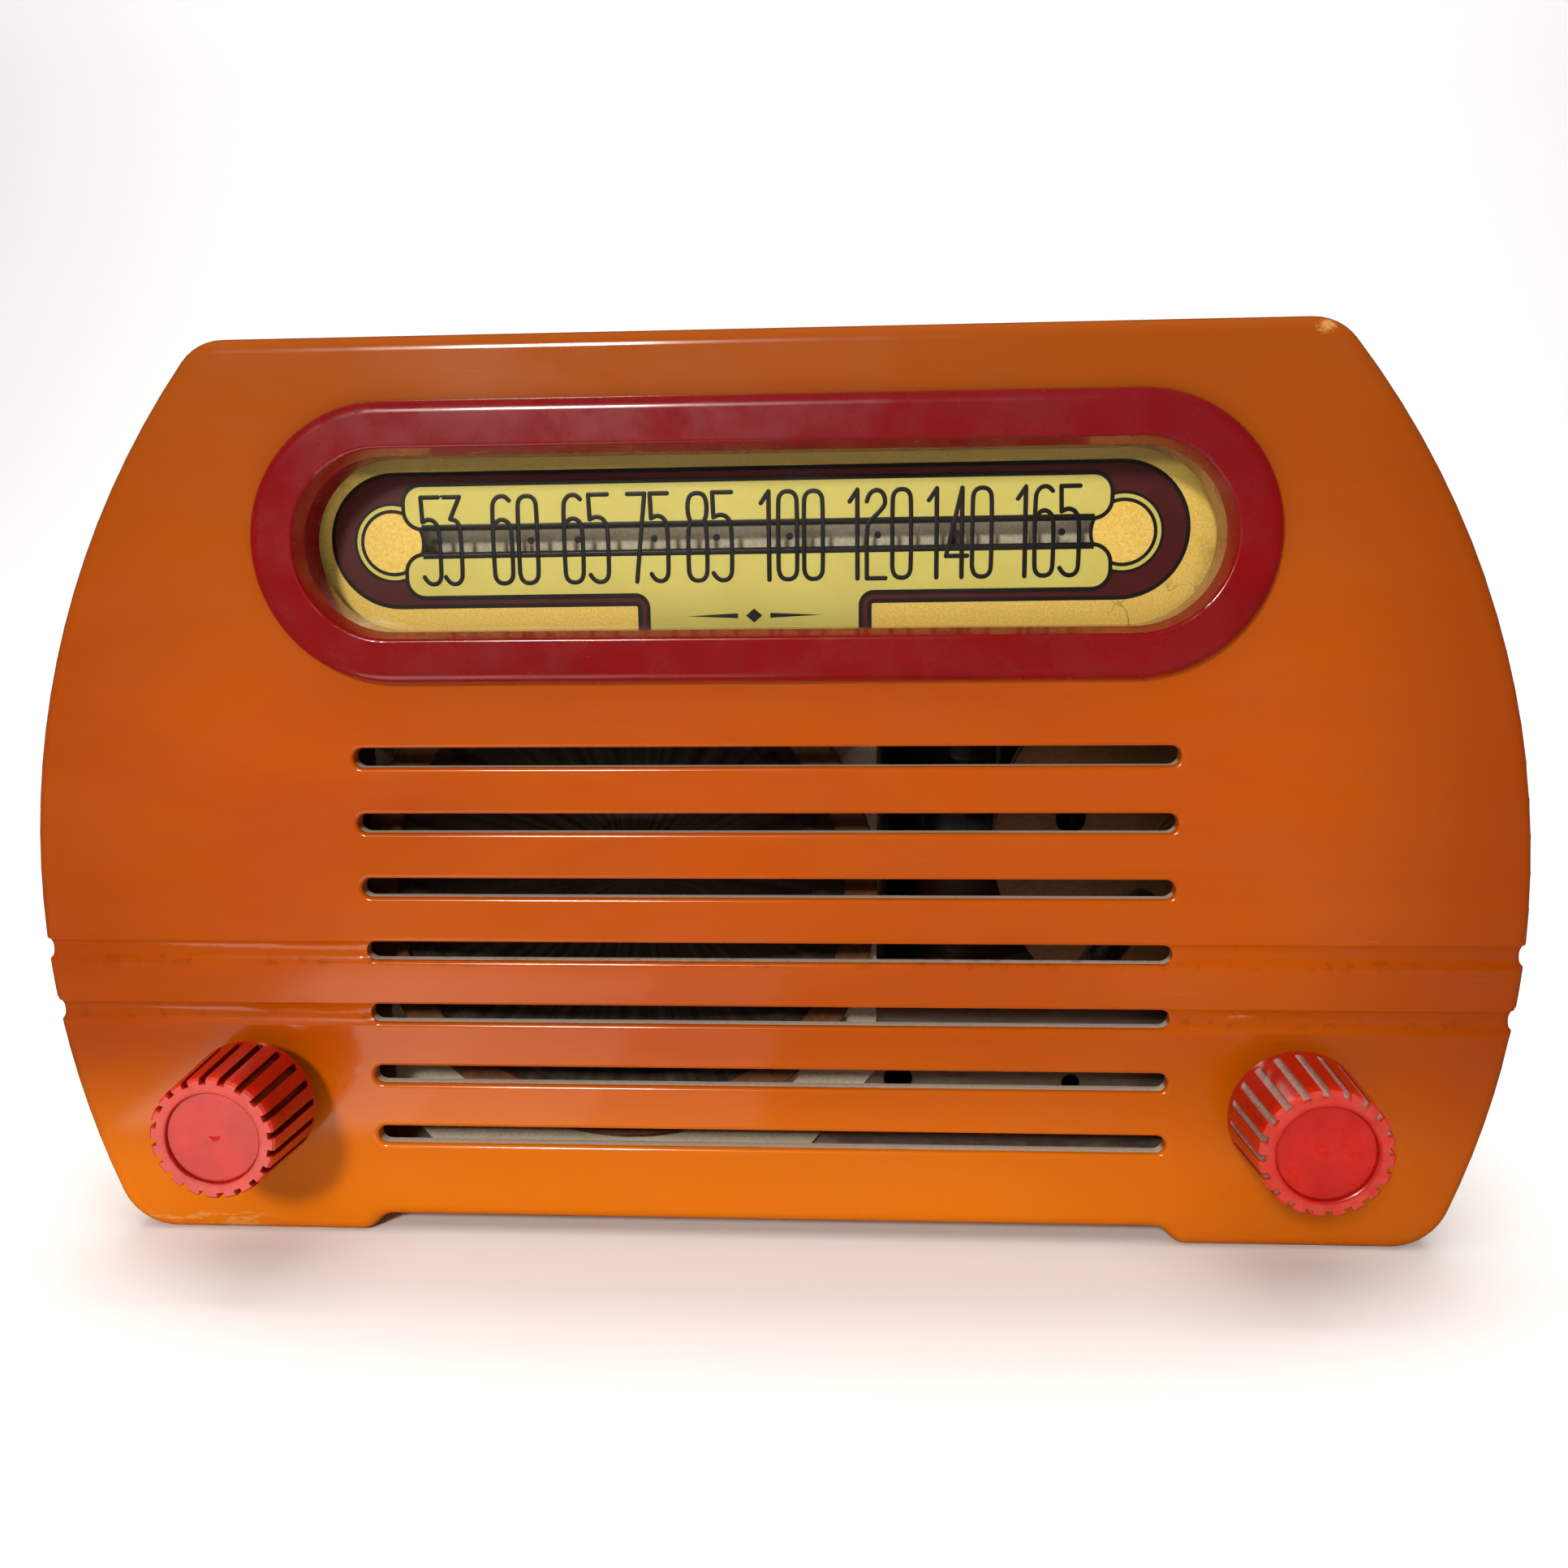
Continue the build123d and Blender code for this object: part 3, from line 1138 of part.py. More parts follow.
# ---------------------------------------------------------------- chassis
SOCKET_HOLE_R = 14.5
NOTCH = (-66.0, 9.0, 36.0)
DRUM_SLOT = (43.0, 112.5, 18.8, 28.4)
DECK_BELOW = CHASSIS_TOP - SHEET
with BuildPart() as chassis:
    block(
        -CHASSIS_HALF, CHASSIS_HALF, CHASSIS_FRONT, CHASSIS_BACK, CHASSIS_BASE, CHASSIS_TOP
    )
    fillet(chassis.edges().filter_by(Axis.Z), 3.0)
    fillet(chassis.edges().group_by(Axis.Z)[-1], 1.2)
    block(
        -CHASSIS_HALF + SHEET, CHASSIS_HALF - SHEET,
        CHASSIS_FRONT + SHEET, CHASSIS_BACK - SHEET,
        CHASSIS_BASE - 1, DECK_BELOW, mode=Mode.SUBTRACT,
    )
    # feet folded inwards along the front and the back, for the bolts
    for near, far in (
        (CHASSIS_FRONT + SHEET, CHASSIS_FRONT + 13),
        (CHASSIS_BACK - 13, CHASSIS_BACK - SHEET),
    ):
        block(-90, 90, near, far, CHASSIS_BASE, CHASSIS_BASE + SHEET)
    # cut-out for the loudspeaker, through the deck and down the front
    block(
        NOTCH[0], NOTCH[1], CHASSIS_FRONT - 1, NOTCH[2],
        22.5, CHASSIS_TOP + 1, mode=Mode.SUBTRACT,
    )
    # slot in the deck for the drum and its cord
    block(*DRUM_SLOT, DECK_BELOW - 1, CHASSIS_TOP + 1, mode=Mode.SUBTRACT)
    # valve holders, cans and bolts
    with BuildSketch(Plane.XY.offset(CHASSIS_TOP + 1)):
        with Locations(*[(x, FACE_Y + depth) for x, depth in TUBES]):
            Circle(SOCKET_HOLE_R)
    extrude(amount=-SHEET - 2, mode=Mode.SUBTRACT)
    with BuildSketch(Plane.XY.offset(CHASSIS_BASE + 2)):
        with Locations(*[(x, FACE_Y + depth) for x, depth in BOLTS]):
            Circle(2.2)
    extrude(amount=-3, mode=Mode.SUBTRACT)
    # holes in the front: controls, ventilation, a spare hole and the baffle's screws
    with BuildSketch(at(CHASSIS_FRONT - 1)):
        with Locations((-KNOB_X, KNOB_Z), (KNOB_X, KNOB_Z)):
            Circle(BUSH_R + 0.1)
        with Locations((25.9, 27.4)):
            Circle(2.9)
        with Locations((60.2, 27.0)):
            Circle(1.8)
        for angle in (215, 325):
            with Locations((SPEAKER_X, SPEAKER_Z)):
                with PolarLocations(RIVET_R, 1, start_angle=angle):
                    Circle(2.2)
        with Locations((-70, 36), (16, 36)):
            Circle(1.65)
    extrude(amount=-SHEET - 2, mode=Mode.SUBTRACT)
chassis.part.label = "chassis"
export_step(chassis.part, "parts/chassis.step")

BOLT_R = 2.0
with BuildPart() as chassis_bolts:
    for x, depth in BOLTS:
        with BuildSketch(upright(x, depth)):
            with BuildLine():
                dome = TangentArc((0, ARCH_RISE - 2.4), (4.0, ARCH_RISE - 0.6), tangent=(1, 0))
                Polyline(
                    dome @ 1,
                    (4.0, ARCH_RISE),
                    (BOLT_R, ARCH_RISE),
                    (BOLT_R, CHASSIS_BASE + 6.4),
                    (BOLT_R - 0.5, CHASSIS_BASE + 7),
                    (0, CHASSIS_BASE + 7),
                    (0, ARCH_RISE - 2.4),
                )
            make_face()
        revolve(axis=standing(x, depth))
        block(x - 4.5, x + 4.5, depth - 0.5, depth + 0.5, 0.5, 1.9, mode=Mode.SUBTRACT)
chassis_bolts.part.label = "chassis_bolts"
export_step(chassis_bolts.part, "parts/chassis_bolts.step")

with BuildPart() as chassis_nuts:
    with BuildSketch(Plane.XY.offset(CHASSIS_BASE + SHEET)):
        with Locations(*[(x, FACE_Y + depth) for x, depth in BOLTS]):
            RegularPolygon(4.2, 6)
            Circle(BOLT_R + 0.02, mode=Mode.SUBTRACT)
    extrude(amount=3.0)
chassis_nuts.part.label = "chassis_nuts"
export_step(chassis_nuts.part, "parts/chassis_nuts.step")

with BuildPart() as chassis_washers:
    with BuildSketch(Plane.XY.offset(FLOOR_Z)):
        with Locations(*[(x, FACE_Y + depth) for x, depth in BOLTS]):
            Circle(5.5)
            Circle(2.2, mode=Mode.SUBTRACT)
    extrude(amount=CHASSIS_BASE - FLOOR_Z)
chassis_washers.part.label = "chassis_washers"
export_step(chassis_washers.part, "parts/chassis_washers.step")

# ---------------------------------------------------------------- valves
SOCKET_T = 6.0
with BuildPart() as tube_sockets:
    for x, depth in TUBES:
        # wafer below the deck, body through its hole, and a saddle plate on top
        with BuildSketch(Plane.XY.offset(CHASSIS_TOP - SOCKET_T)):
            with Locations((x, FACE_Y + depth)):
                Circle(SOCKET_HOLE_R - 0.3)
        extrude(amount=SOCKET_T + 2.0)
        with BuildSketch(Plane.XY.offset(CHASSIS_TOP)):
            with Locations((x, FACE_Y + depth)):
                Circle(SOCKET_HOLE_R + 2.2)
        extrude(amount=0.9)
        with BuildSketch(Plane.XY.offset(CHASSIS_TOP + 2.0)):
            with Locations((x, FACE_Y + depth)):
                with PolarLocations(8.7, 8, start_angle=22.5):
                    Circle(1.6)
                Circle(4.0)
        extrude(amount=-SOCKET_T - 1, mode=Mode.SUBTRACT)
tube_sockets.part.label = "tube_sockets"
export_step(tube_sockets.part, "parts/tube_sockets.step")

BASE_LOW = CHASSIS_TOP + 2.0
BASE_TOP = BASE_LOW + 17.0
with BuildPart() as tube_bases:
    for x, depth in TUBES:
        with BuildSketch(upright(x, depth)):
            with BuildLine():
                Polyline(
                    (0, BASE_LOW - 6),
                    (3.6, BASE_LOW - 6),
                    (3.6, BASE_LOW),
                    (TUBE_BASE_R - 1.5, BASE_LOW),
                    (TUBE_BASE_R - 0.6, BASE_LOW + 9),
                    (TUBE_BASE_R, BASE_LOW + 9.6),
                    (TUBE_BASE_R, BASE_TOP),
                    (TUBE_GLASS_R - 1.2, BASE_TOP),
                    (TUBE_GLASS_R - 1.2, BASE_TOP - 5),
                    (0, BASE_TOP - 5),
                    close=True,
                )
            make_face()
        revolve(axis=standing(x, depth))
        with BuildSketch(Plane.XY.offset(BASE_LOW)):
            with Locations((x, FACE_Y + depth)):
                with PolarLocations(8.7, 8, start_angle=22.5):
                    Circle(1.15)
        extrude(amount=-7.0)
tube_bases.part.label = "tube_bases"
export_step(tube_bases.part, "parts/tube_bases.step")


def bulb_section(grow):
    """Half outline of a tubular bulb with a domed top, grown outwards by grow."""
    radius = TUBE_GLASS_R - 1.3 + grow
    belly = TUBE_GLASS_R + grow
    low = BASE_TOP - 5 - grow
    top = TUBE_TOP + grow
    with BuildSketch() as section:
        with BuildLine():
            Line((0, low), (radius, low))
            Line((radius, low), (radius, BASE_TOP + 0.4))
            Line((radius, BASE_TOP + 0.4), (belly, BASE_TOP + 4))
            Line((belly, BASE_TOP + 4), (belly, top - 9))
            RadiusArc((belly, top - 9), (belly - 8, top - 1.6), 9.5)
            TangentArc((0, top), (belly - 8, top - 1.6), tangent=(1, 0))
            Line((0, top), (0, low))
        make_face()
    return section.sketch


with BuildPart() as tube_glass:
    for x, depth in TUBES:
        with BuildSketch(upright(x, depth)):
            add(bulb_section(0))
            add(bulb_section(-1.0), mode=Mode.SUBTRACT)
        revolve(axis=standing(x, depth))
tube_glass.part.label = "tube_glass"
export_step(tube_glass.part, "parts/tube_glass.step")

ELECTRODE_LOW = BASE_TOP + 2.0
ELECTRODE_TOP = TUBE_TOP - 14.0
with BuildPart() as tube_electrodes:
    for x, depth in TUBES:
        middle = (x, FACE_Y + depth)
        with BuildSketch(Plane.XY.offset(ELECTRODE_LOW)):
            with Locations(middle):
                SlotOverall(17, 10)
        extrude(amount=ELECTRODE_TOP - ELECTRODE_LOW)
        # mica spacers, support rods down to the press, and the getter ring on top
        for mica in (ELECTRODE_LOW - 1.5, ELECTRODE_TOP + 1.0):
            with BuildSketch(Plane.XY.offset(mica)):
                with Locations(middle):
                    Circle(TUBE_GLASS_R - 2.4)
            extrude(amount=0.5)
        with BuildSketch(Plane.XY.offset(BASE_TOP - 3.9)):
            with Locations(middle):
                with Locations((-6, 0), (0, 0), (6, 0)):
                    Circle(0.8)
        extrude(amount=ELECTRODE_TOP + 5 - BASE_TOP)
        block(x - 3, x + 3, depth - 0.5, depth + 0.5, ELECTRODE_TOP + 1.5, ELECTRODE_TOP + 5)
tube_electrodes.part.label = "tube_electrodes"
export_step(tube_electrodes.part, "parts/tube_electrodes.step")

# ---------------------------------------------------------------- other parts on the deck
IF_HALF = 15.0
with BuildPart() as if_cans:
    for x, depth in IF_CANS:
        block(
            x - IF_HALF, x + IF_HALF, depth - IF_HALF, depth + IF_HALF,
            CHASSIS_TOP, CHASSIS_TOP + 62,
        )
    fillet(if_cans.edges().filter_by(Axis.Z), 3.5)
    fillet(if_cans.edges().group_by(Axis.Z)[-1], 2.0)
    with BuildSketch(Plane.XY.offset(CHASSIS_TOP + 62)):
        with Locations(*[(x, FACE_Y + depth) for x, depth in IF_CANS]):
            with Locations((-7, 0), (7, 0)):
                Circle(3.0)
    extrude(amount=-3.0, mode=Mode.SUBTRACT)
if_cans.part.label = "if_cans"
export_step(if_cans.part, "parts/if_cans.step")

with BuildPart() as filter_capacitor:
    can_x, can_depth = FILTER_CAN
    with BuildSketch(upright(can_x, can_depth)):
        with BuildLine():
            Polyline(
                (0, CHASSIS_TOP),
                (15.5, CHASSIS_TOP),
                (15.5, CHASSIS_TOP + 1.2),
                (13, CHASSIS_TOP + 1.2),
                (13, CHASSIS_TOP + 4),
                (12.3, CHASSIS_TOP + 5),
                (13, CHASSIS_TOP + 6),
                (13, CHASSIS_TOP + 64),
                (11, CHASSIS_TOP + 66),
                (0, CHASSIS_TOP + 66),
                close=True,
            )
        make_face()
    revolve(axis=standing(can_x, can_depth))
filter_capacitor.part.label = "filter_capacitor"
export_step(filter_capacitor.part, "parts/filter_capacitor.step")

CORE_HALF = 19.0
CORE_T = 15.0
CORE_BASE = CHASSIS_TOP + 1.0
core_x, core_depth = TRANSFORMER
with BuildPart() as transformer_core:
    # laminated core with two windows round the middle limb, on a strap with two feet
    block(
        core_x - CORE_HALF, core_x + CORE_HALF,
        core_depth - CORE_T / 2, core_depth + CORE_T / 2, CORE_BASE, CORE_BASE + 32,
    )
    for sign in (-1, 1):
        block(
            core_x + sign * 6.5, core_x + sign * 13,
            core_depth - CORE_T, core_depth + CORE_T, CORE_BASE + 6.5, CORE_BASE + 25.5,
            mode=Mode.SUBTRACT,
        )
        block(
            core_x + sign * CORE_HALF, core_x + sign * (CORE_HALF + 9),
            core_depth - 6, core_depth + 6, CHASSIS_TOP, CORE_BASE,
        )
    block(
        core_x - CORE_HALF, core_x + CORE_HALF, core_depth - 6, core_depth + 6,
        CHASSIS_TOP, CORE_BASE,
    )
    with BuildSketch(Plane.XY.offset(CORE_BASE)):
        with Locations((core_x, FACE_Y + core_depth)):
            with Locations((-CORE_HALF - 5, 0), (CORE_HALF + 5, 0)):
                Circle(2.0)
    extrude(amount=-SHEET, mode=Mode.SUBTRACT)
transformer_core.part.label = "transformer_core"
export_step(transformer_core.part, "parts/transformer_core.step")

with BuildPart() as transformer_winding:
    block(
        core_x - 12.7, core_x + 12.7, core_depth - CORE_T / 2 - 5.5,
        core_depth + CORE_T / 2 + 5.5, CORE_BASE + 6.8, CORE_BASE + 25.2,
    )
    fillet(transformer_winding.edges().filter_by(Axis.Z), 4.5)
    block(
        core_x - 6.8, core_x + 6.8, core_depth - CORE_T / 2 - 0.2,
        core_depth + CORE_T / 2 + 0.2, CORE_BASE, CORE_BASE + 32, mode=Mode.SUBTRACT,
    )
transformer_winding.part.label = "transformer_winding"
export_step(transformer_winding.part, "parts/transformer_winding.step")

# dial lamp beyond the left end of the glass, in a clip riveted to the backplate
LAMP_X, LAMP_Z, LAMP_DEPTH = -103.4, 134.0, 11.6
with BuildPart() as dial_lamp:
    with BuildSketch(Plane(origin=(0, FACE_Y + LAMP_DEPTH, LAMP_Z), x_dir=(1, 0, 0), z_dir=(0, -1, 0))):
        with BuildLine():
            Polyline((LAMP_X, 0), (LAMP_X, 4.4), (LAMP_X + 1.5, 4.6), (LAMP_X + 4, 5.0))
            Line((LAMP_X + 4, 5.0), (LAMP_X + 6.5, 5.0))
            TangentArc((LAMP_X + 11.5, 0), (LAMP_X + 6.5, 5.0), tangent=(0, 1))
            Line((LAMP_X + 11.5, 0), (LAMP_X, 0))
        make_face()
    revolve(axis=Axis((0, FACE_Y + LAMP_DEPTH, LAMP_Z), (1, 0, 0)))
dial_lamp.part.label = "dial_lamp"
export_step(dial_lamp.part, "parts/dial_lamp.step")

with BuildPart() as dial_lamp_holder:
    with BuildSketch(Plane(origin=(LAMP_X, FACE_Y + LAMP_DEPTH, LAMP_Z), z_dir=(-1, 0, 0))):
        Circle(5.2)
    extrude(amount=10.5)
    chamfer(dial_lamp_holder.edges().group_by(Axis.X)[0], 0.8)
    block(LAMP_X - 6, LAMP_X - 5, LAMP_DEPTH, PLATE_DEPTH + PLATE_T + 1, LAMP_Z - 4, LAMP_Z + 4)
    block(
        LAMP_X - 6, PLATE_LEFT + 1.5, PLATE_DEPTH + PLATE_T, PLATE_DEPTH + PLATE_T + 1,
        LAMP_Z - 15, LAMP_Z - 8,
    )
    block(
        LAMP_X - 6, LAMP_X - 2, PLATE_DEPTH + PLATE_T, PLATE_DEPTH + PLATE_T + 1,
        LAMP_Z - 15, LAMP_Z + 4,
    )
dial_lamp_holder.part.label = "dial_lamp_holder"
export_step(dial_lamp_holder.part, "parts/dial_lamp_holder.step")

# ---------------------------------------------------------------- back cover
COVER_GAP = 0.6
GROMMET_HOLE_R = 5.0
VENT_ROWS = 3
VENT_COLUMNS = 11
with BuildPart() as back_cover:
    with BuildSketch(at(COVER_DEPTH)):
        add(barrel(WALL + COVER_GAP, FLOOR_Z + COVER_GAP))
        with Locations(*BOSSES):
            Circle(1.7, mode=Mode.SUBTRACT)
        with Locations(CORD_HOLE):
            Circle(GROMMET_HOLE_R, mode=Mode.SUBTRACT)
        # ventilation: three rows of round holes high up, and one row low down
        with Locations((0, 146)):
            with GridLocations(14, 12, VENT_COLUMNS, VENT_ROWS):
                Circle(3.5, mode=Mode.SUBTRACT)
        with Locations((14, 27)):
            with GridLocations(14, 12, 9, 1):
                Circle(3.5, mode=Mode.SUBTRACT)
    extrude(amount=-COVER_T)
back_cover.part.label = "back_cover"
export_step(back_cover.part, "parts/back_cover.step")

with BuildPart() as back_cover_screws:
    for x, z in BOSSES:
        head = COVER_DEPTH + COVER_T
        with BuildSketch(turned(x, z)):
            with BuildLine():
                crown = TangentArc((0, head + 2.0), (3.2, head), tangent=(1, 0))
                Polyline(
                    crown @ 1,
                    (1.25, head),
                    (1.25, COVER_DEPTH - 7),
                    (0, COVER_DEPTH - 8.5),
                    (0, head + 2.0),
                )
            make_face()
        revolve(axis=turning(x, z))
        block(x - 3.5, x + 3.5, head + 1.0, head + 2.5, z - 0.4, z + 0.4, mode=Mode.SUBTRACT)
back_cover_screws.part.label = "back_cover_screws"
export_step(back_cover_screws.part, "parts/back_cover_screws.step")

# loop antenna: flat winding cemented to the inside of the cover
LOOP_Z = 86.0
LOOP_T = 1.4
with BuildPart() as loop_antenna:
    with BuildSketch(at(COVER_DEPTH - LOOP_T)):
        with Locations((0, LOOP_Z)):
            RectangleRounded(204, 86, 20)
            RectangleRounded(172, 54, 8, mode=Mode.SUBTRACT)
    extrude(amount=-LOOP_T)
loop_antenna.part.label = "loop_antenna"
export_step(loop_antenna.part, "parts/loop_antenna.step")

# rubber grommet that the mains cord passes through
GROMMET_BORE_R = 3.3
with BuildPart() as mains_grommet:
    grommet_x, grommet_z = CORD_HOLE
    cover_back = COVER_DEPTH + COVER_T
    with BuildSketch(turned(grommet_x, grommet_z)):
        with BuildLine():
            Polyline(
                (GROMMET_BORE_R, COVER_DEPTH - 1.8),
                (6.4, COVER_DEPTH - 1.8),
                (6.9, COVER_DEPTH - 1.2),
                (6.9, COVER_DEPTH),
                (GROMMET_HOLE_R, COVER_DEPTH),
                (GROMMET_HOLE_R, cover_back),
                (6.9, cover_back),
                (6.9, cover_back + 1.2),
                (6.4, cover_back + 1.8),
                (GROMMET_BORE_R, cover_back + 1.8),
                close=True,
            )
        make_face()
    revolve(axis=turning(grommet_x, grommet_z))
mains_grommet.part.label = "mains_grommet"
export_step(mains_grommet.part, "parts/mains_grommet.step")

# ---------------------------------------------------------------- under the chassis
STRIPS = [(-52.0, 84.0), (30.0, 84.0), (76.0, 60.0)]
with BuildPart() as terminal_strips:
    for x, depth in STRIPS:
        block(x - 16, x + 16, depth, depth + 1.6, DECK_BELOW - 13, DECK_BELOW - 4)
        block(x - 2.5, x + 2.5, depth + 1.6, depth + 2.4, DECK_BELOW - 12, DECK_BELOW)
        block(x - 2.5, x + 2.5, depth + 1.6, depth + 8, DECK_BELOW - 0.8, DECK_BELOW)
        for lug in (-13, -6.5, 0, 6.5, 13):
            block(x + lug - 1, x + lug + 1, depth - 0.6, depth, DECK_BELOW - 16, DECK_BELOW - 6)
terminal_strips.part.label = "terminal_strips"
export_step(terminal_strips.part, "parts/terminal_strips.step")


def lying(x, depth, z, length, radius):
    """A wax-paper or carbon body lying along X, with domed shoulders and its two leads."""
    plane = Plane(origin=(x, FACE_Y + depth, z), x_dir=(1, 0, 0), z_dir=(0, -1, 0))
    half = length / 2
    with BuildSketch(plane) as section:
        with BuildLine():
            Polyline(
                (-half - 7, 0),
                (-half - 7, 0.4),
                (-half, 0.4),
                (-half, radius - 0.5),
                (-half + 0.5, radius),
                (half - 0.5, radius),
                (half, radius - 0.5),
                (half, 0.4),
                (half + 7, 0.4),
                (half + 7, 0),
                close=True,
            )
        make_face()
    revolve(section.sketch, axis=Axis(plane.origin, (1, 0, 0)))


PAPER_PLACES = [(-44, 58), (-44, 74), (34, 40), (84, 46), (84, 78), (-6, 88), (44, 100)]
with BuildPart() as paper_capacitors:
    for x, depth in PAPER_PLACES:
        lying(x, depth, 20.0, 30, 5.2)
paper_capacitors.part.label = "paper_capacitors"
export_step(paper_capacitors.part, "parts/paper_capacitors.step")

RESISTOR_PLACES = [(-10, 70), (-10, 62), (-84, 88), (34, 54), (34, 62), (70, 108), (-2, 112)]
with BuildPart() as resistors:
    for x, depth in RESISTOR_PLACES:
        lying(x, depth, 24.0, 14, 2.4)
resistors.part.label = "resistors"
export_step(resistors.part, "parts/resistors.step")

# leads: loudspeaker to output transformer, and loop antenna to the chassis
WIRE_R = 0.8
LEADS = [
    [
        (-13.4, 36.9, 80.5), (-10.0, 58, 86), (-8.5, 82, 99), (22, 87, 112),
        (50, 84, 100), (68, 84, 84), (78, 92.3, 68),
    ],
    [
        (-11.2, 36.9, 78), (-10.4, 57, 81), (-10.2, 83, 93), (22, 90, 107),
        (50, 86.5, 95), (70, 83, 76), (84, 92.3, 62),
    ],
    [(-80, 138.0, 47.5), (-86, 132, 44), (-91, 129.6, 36), (-91, 129.2, 28)],
    [(-74, 138.0, 47.5), (-80, 132, 42), (-85, 129.6, 34), (-85, 129.2, 26)],
]
with BuildPart() as hookup_wires:
    for lead in LEADS:
        points = [Vector(x, FACE_Y + depth, z) for x, depth, z in lead]
        radii = []
        for before, corner, after in zip(points, points[1:], points[2:]):
            turn = math.radians((corner - before).get_angle(after - corner))
            shorter = min((corner - before).length, (after - corner).length)
            radii.append(0.45 * shorter / math.tan(turn / 2))
        print("lead bends", [round(r, 1) for r in radii])
        with BuildLine() as lead_path:
            FilletPolyline(*points, radius=radii)
        with BuildSketch(Plane(origin=lead_path.line @ 0, z_dir=lead_path.line % 0)):
            Circle(WIRE_R)
        sweep(path=lead_path.wire())
hookup_wires.part.label = "hookup_wires"
export_step(hookup_wires.part, "parts/hookup_wires.step")
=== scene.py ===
"""Looks for the table radio: materials, the dial's print, light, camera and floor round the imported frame."""
import json
import math

import bpy
from mathutils import Euler, Matrix, Vector


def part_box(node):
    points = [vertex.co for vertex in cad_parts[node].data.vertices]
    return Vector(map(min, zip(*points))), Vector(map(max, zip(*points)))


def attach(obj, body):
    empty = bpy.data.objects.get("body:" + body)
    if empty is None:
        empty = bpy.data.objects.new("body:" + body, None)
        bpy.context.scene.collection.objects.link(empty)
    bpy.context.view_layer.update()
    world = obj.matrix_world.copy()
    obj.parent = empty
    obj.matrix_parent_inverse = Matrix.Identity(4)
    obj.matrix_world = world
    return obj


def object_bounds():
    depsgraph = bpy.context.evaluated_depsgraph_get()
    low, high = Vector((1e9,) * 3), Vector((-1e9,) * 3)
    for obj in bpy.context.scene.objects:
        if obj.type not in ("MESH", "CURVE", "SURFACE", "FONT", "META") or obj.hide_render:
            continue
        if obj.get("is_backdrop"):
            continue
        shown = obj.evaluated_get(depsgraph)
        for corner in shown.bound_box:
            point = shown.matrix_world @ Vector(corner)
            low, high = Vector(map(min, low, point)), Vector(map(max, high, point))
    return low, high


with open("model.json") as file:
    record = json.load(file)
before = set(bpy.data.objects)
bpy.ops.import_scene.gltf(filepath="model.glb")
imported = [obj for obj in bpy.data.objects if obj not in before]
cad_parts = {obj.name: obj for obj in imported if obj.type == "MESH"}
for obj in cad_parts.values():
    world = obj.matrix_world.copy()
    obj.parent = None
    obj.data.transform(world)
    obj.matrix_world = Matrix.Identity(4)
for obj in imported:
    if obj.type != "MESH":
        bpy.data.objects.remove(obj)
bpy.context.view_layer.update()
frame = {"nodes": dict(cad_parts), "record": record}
MM = 0.001
scene = bpy.context.scene

# ---------------------------------------------------------------- places, in millimetres
# The camera stands where the photograph's did: near, a little right of the middle and above it.
FACE_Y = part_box("cabinet")[0].y / MM
DIAL_Z = 133.85
GLASS_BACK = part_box("dial_glass")[1].y / MM
CAMERA_PLACE = (17.487, -291.69, 128.883)
CAMERA_TURN = (-0.167342, 0.011143, 0.055015)
CAMERA_LENS = 29.25

# ---------------------------------------------------------------- camera
camera_data = bpy.data.cameras.new("camera")
camera_data.lens = CAMERA_LENS
camera_data.sensor_width = 36.0
camera_data.clip_start = 0.01
camera_data.clip_end = 50.0
camera = bpy.data.objects.new("camera", camera_data)
scene.collection.objects.link(camera)
turn = Euler(CAMERA_TURN, "XYZ").to_matrix() @ Matrix.Rotation(math.pi / 2, 3, "X")
camera.matrix_world = Matrix.Translation(Vector(CAMERA_PLACE) * MM) @ turn.to_4x4()
scene.camera = camera
scene.view_settings.view_transform = "Standard"
scene.view_settings.look = "None"


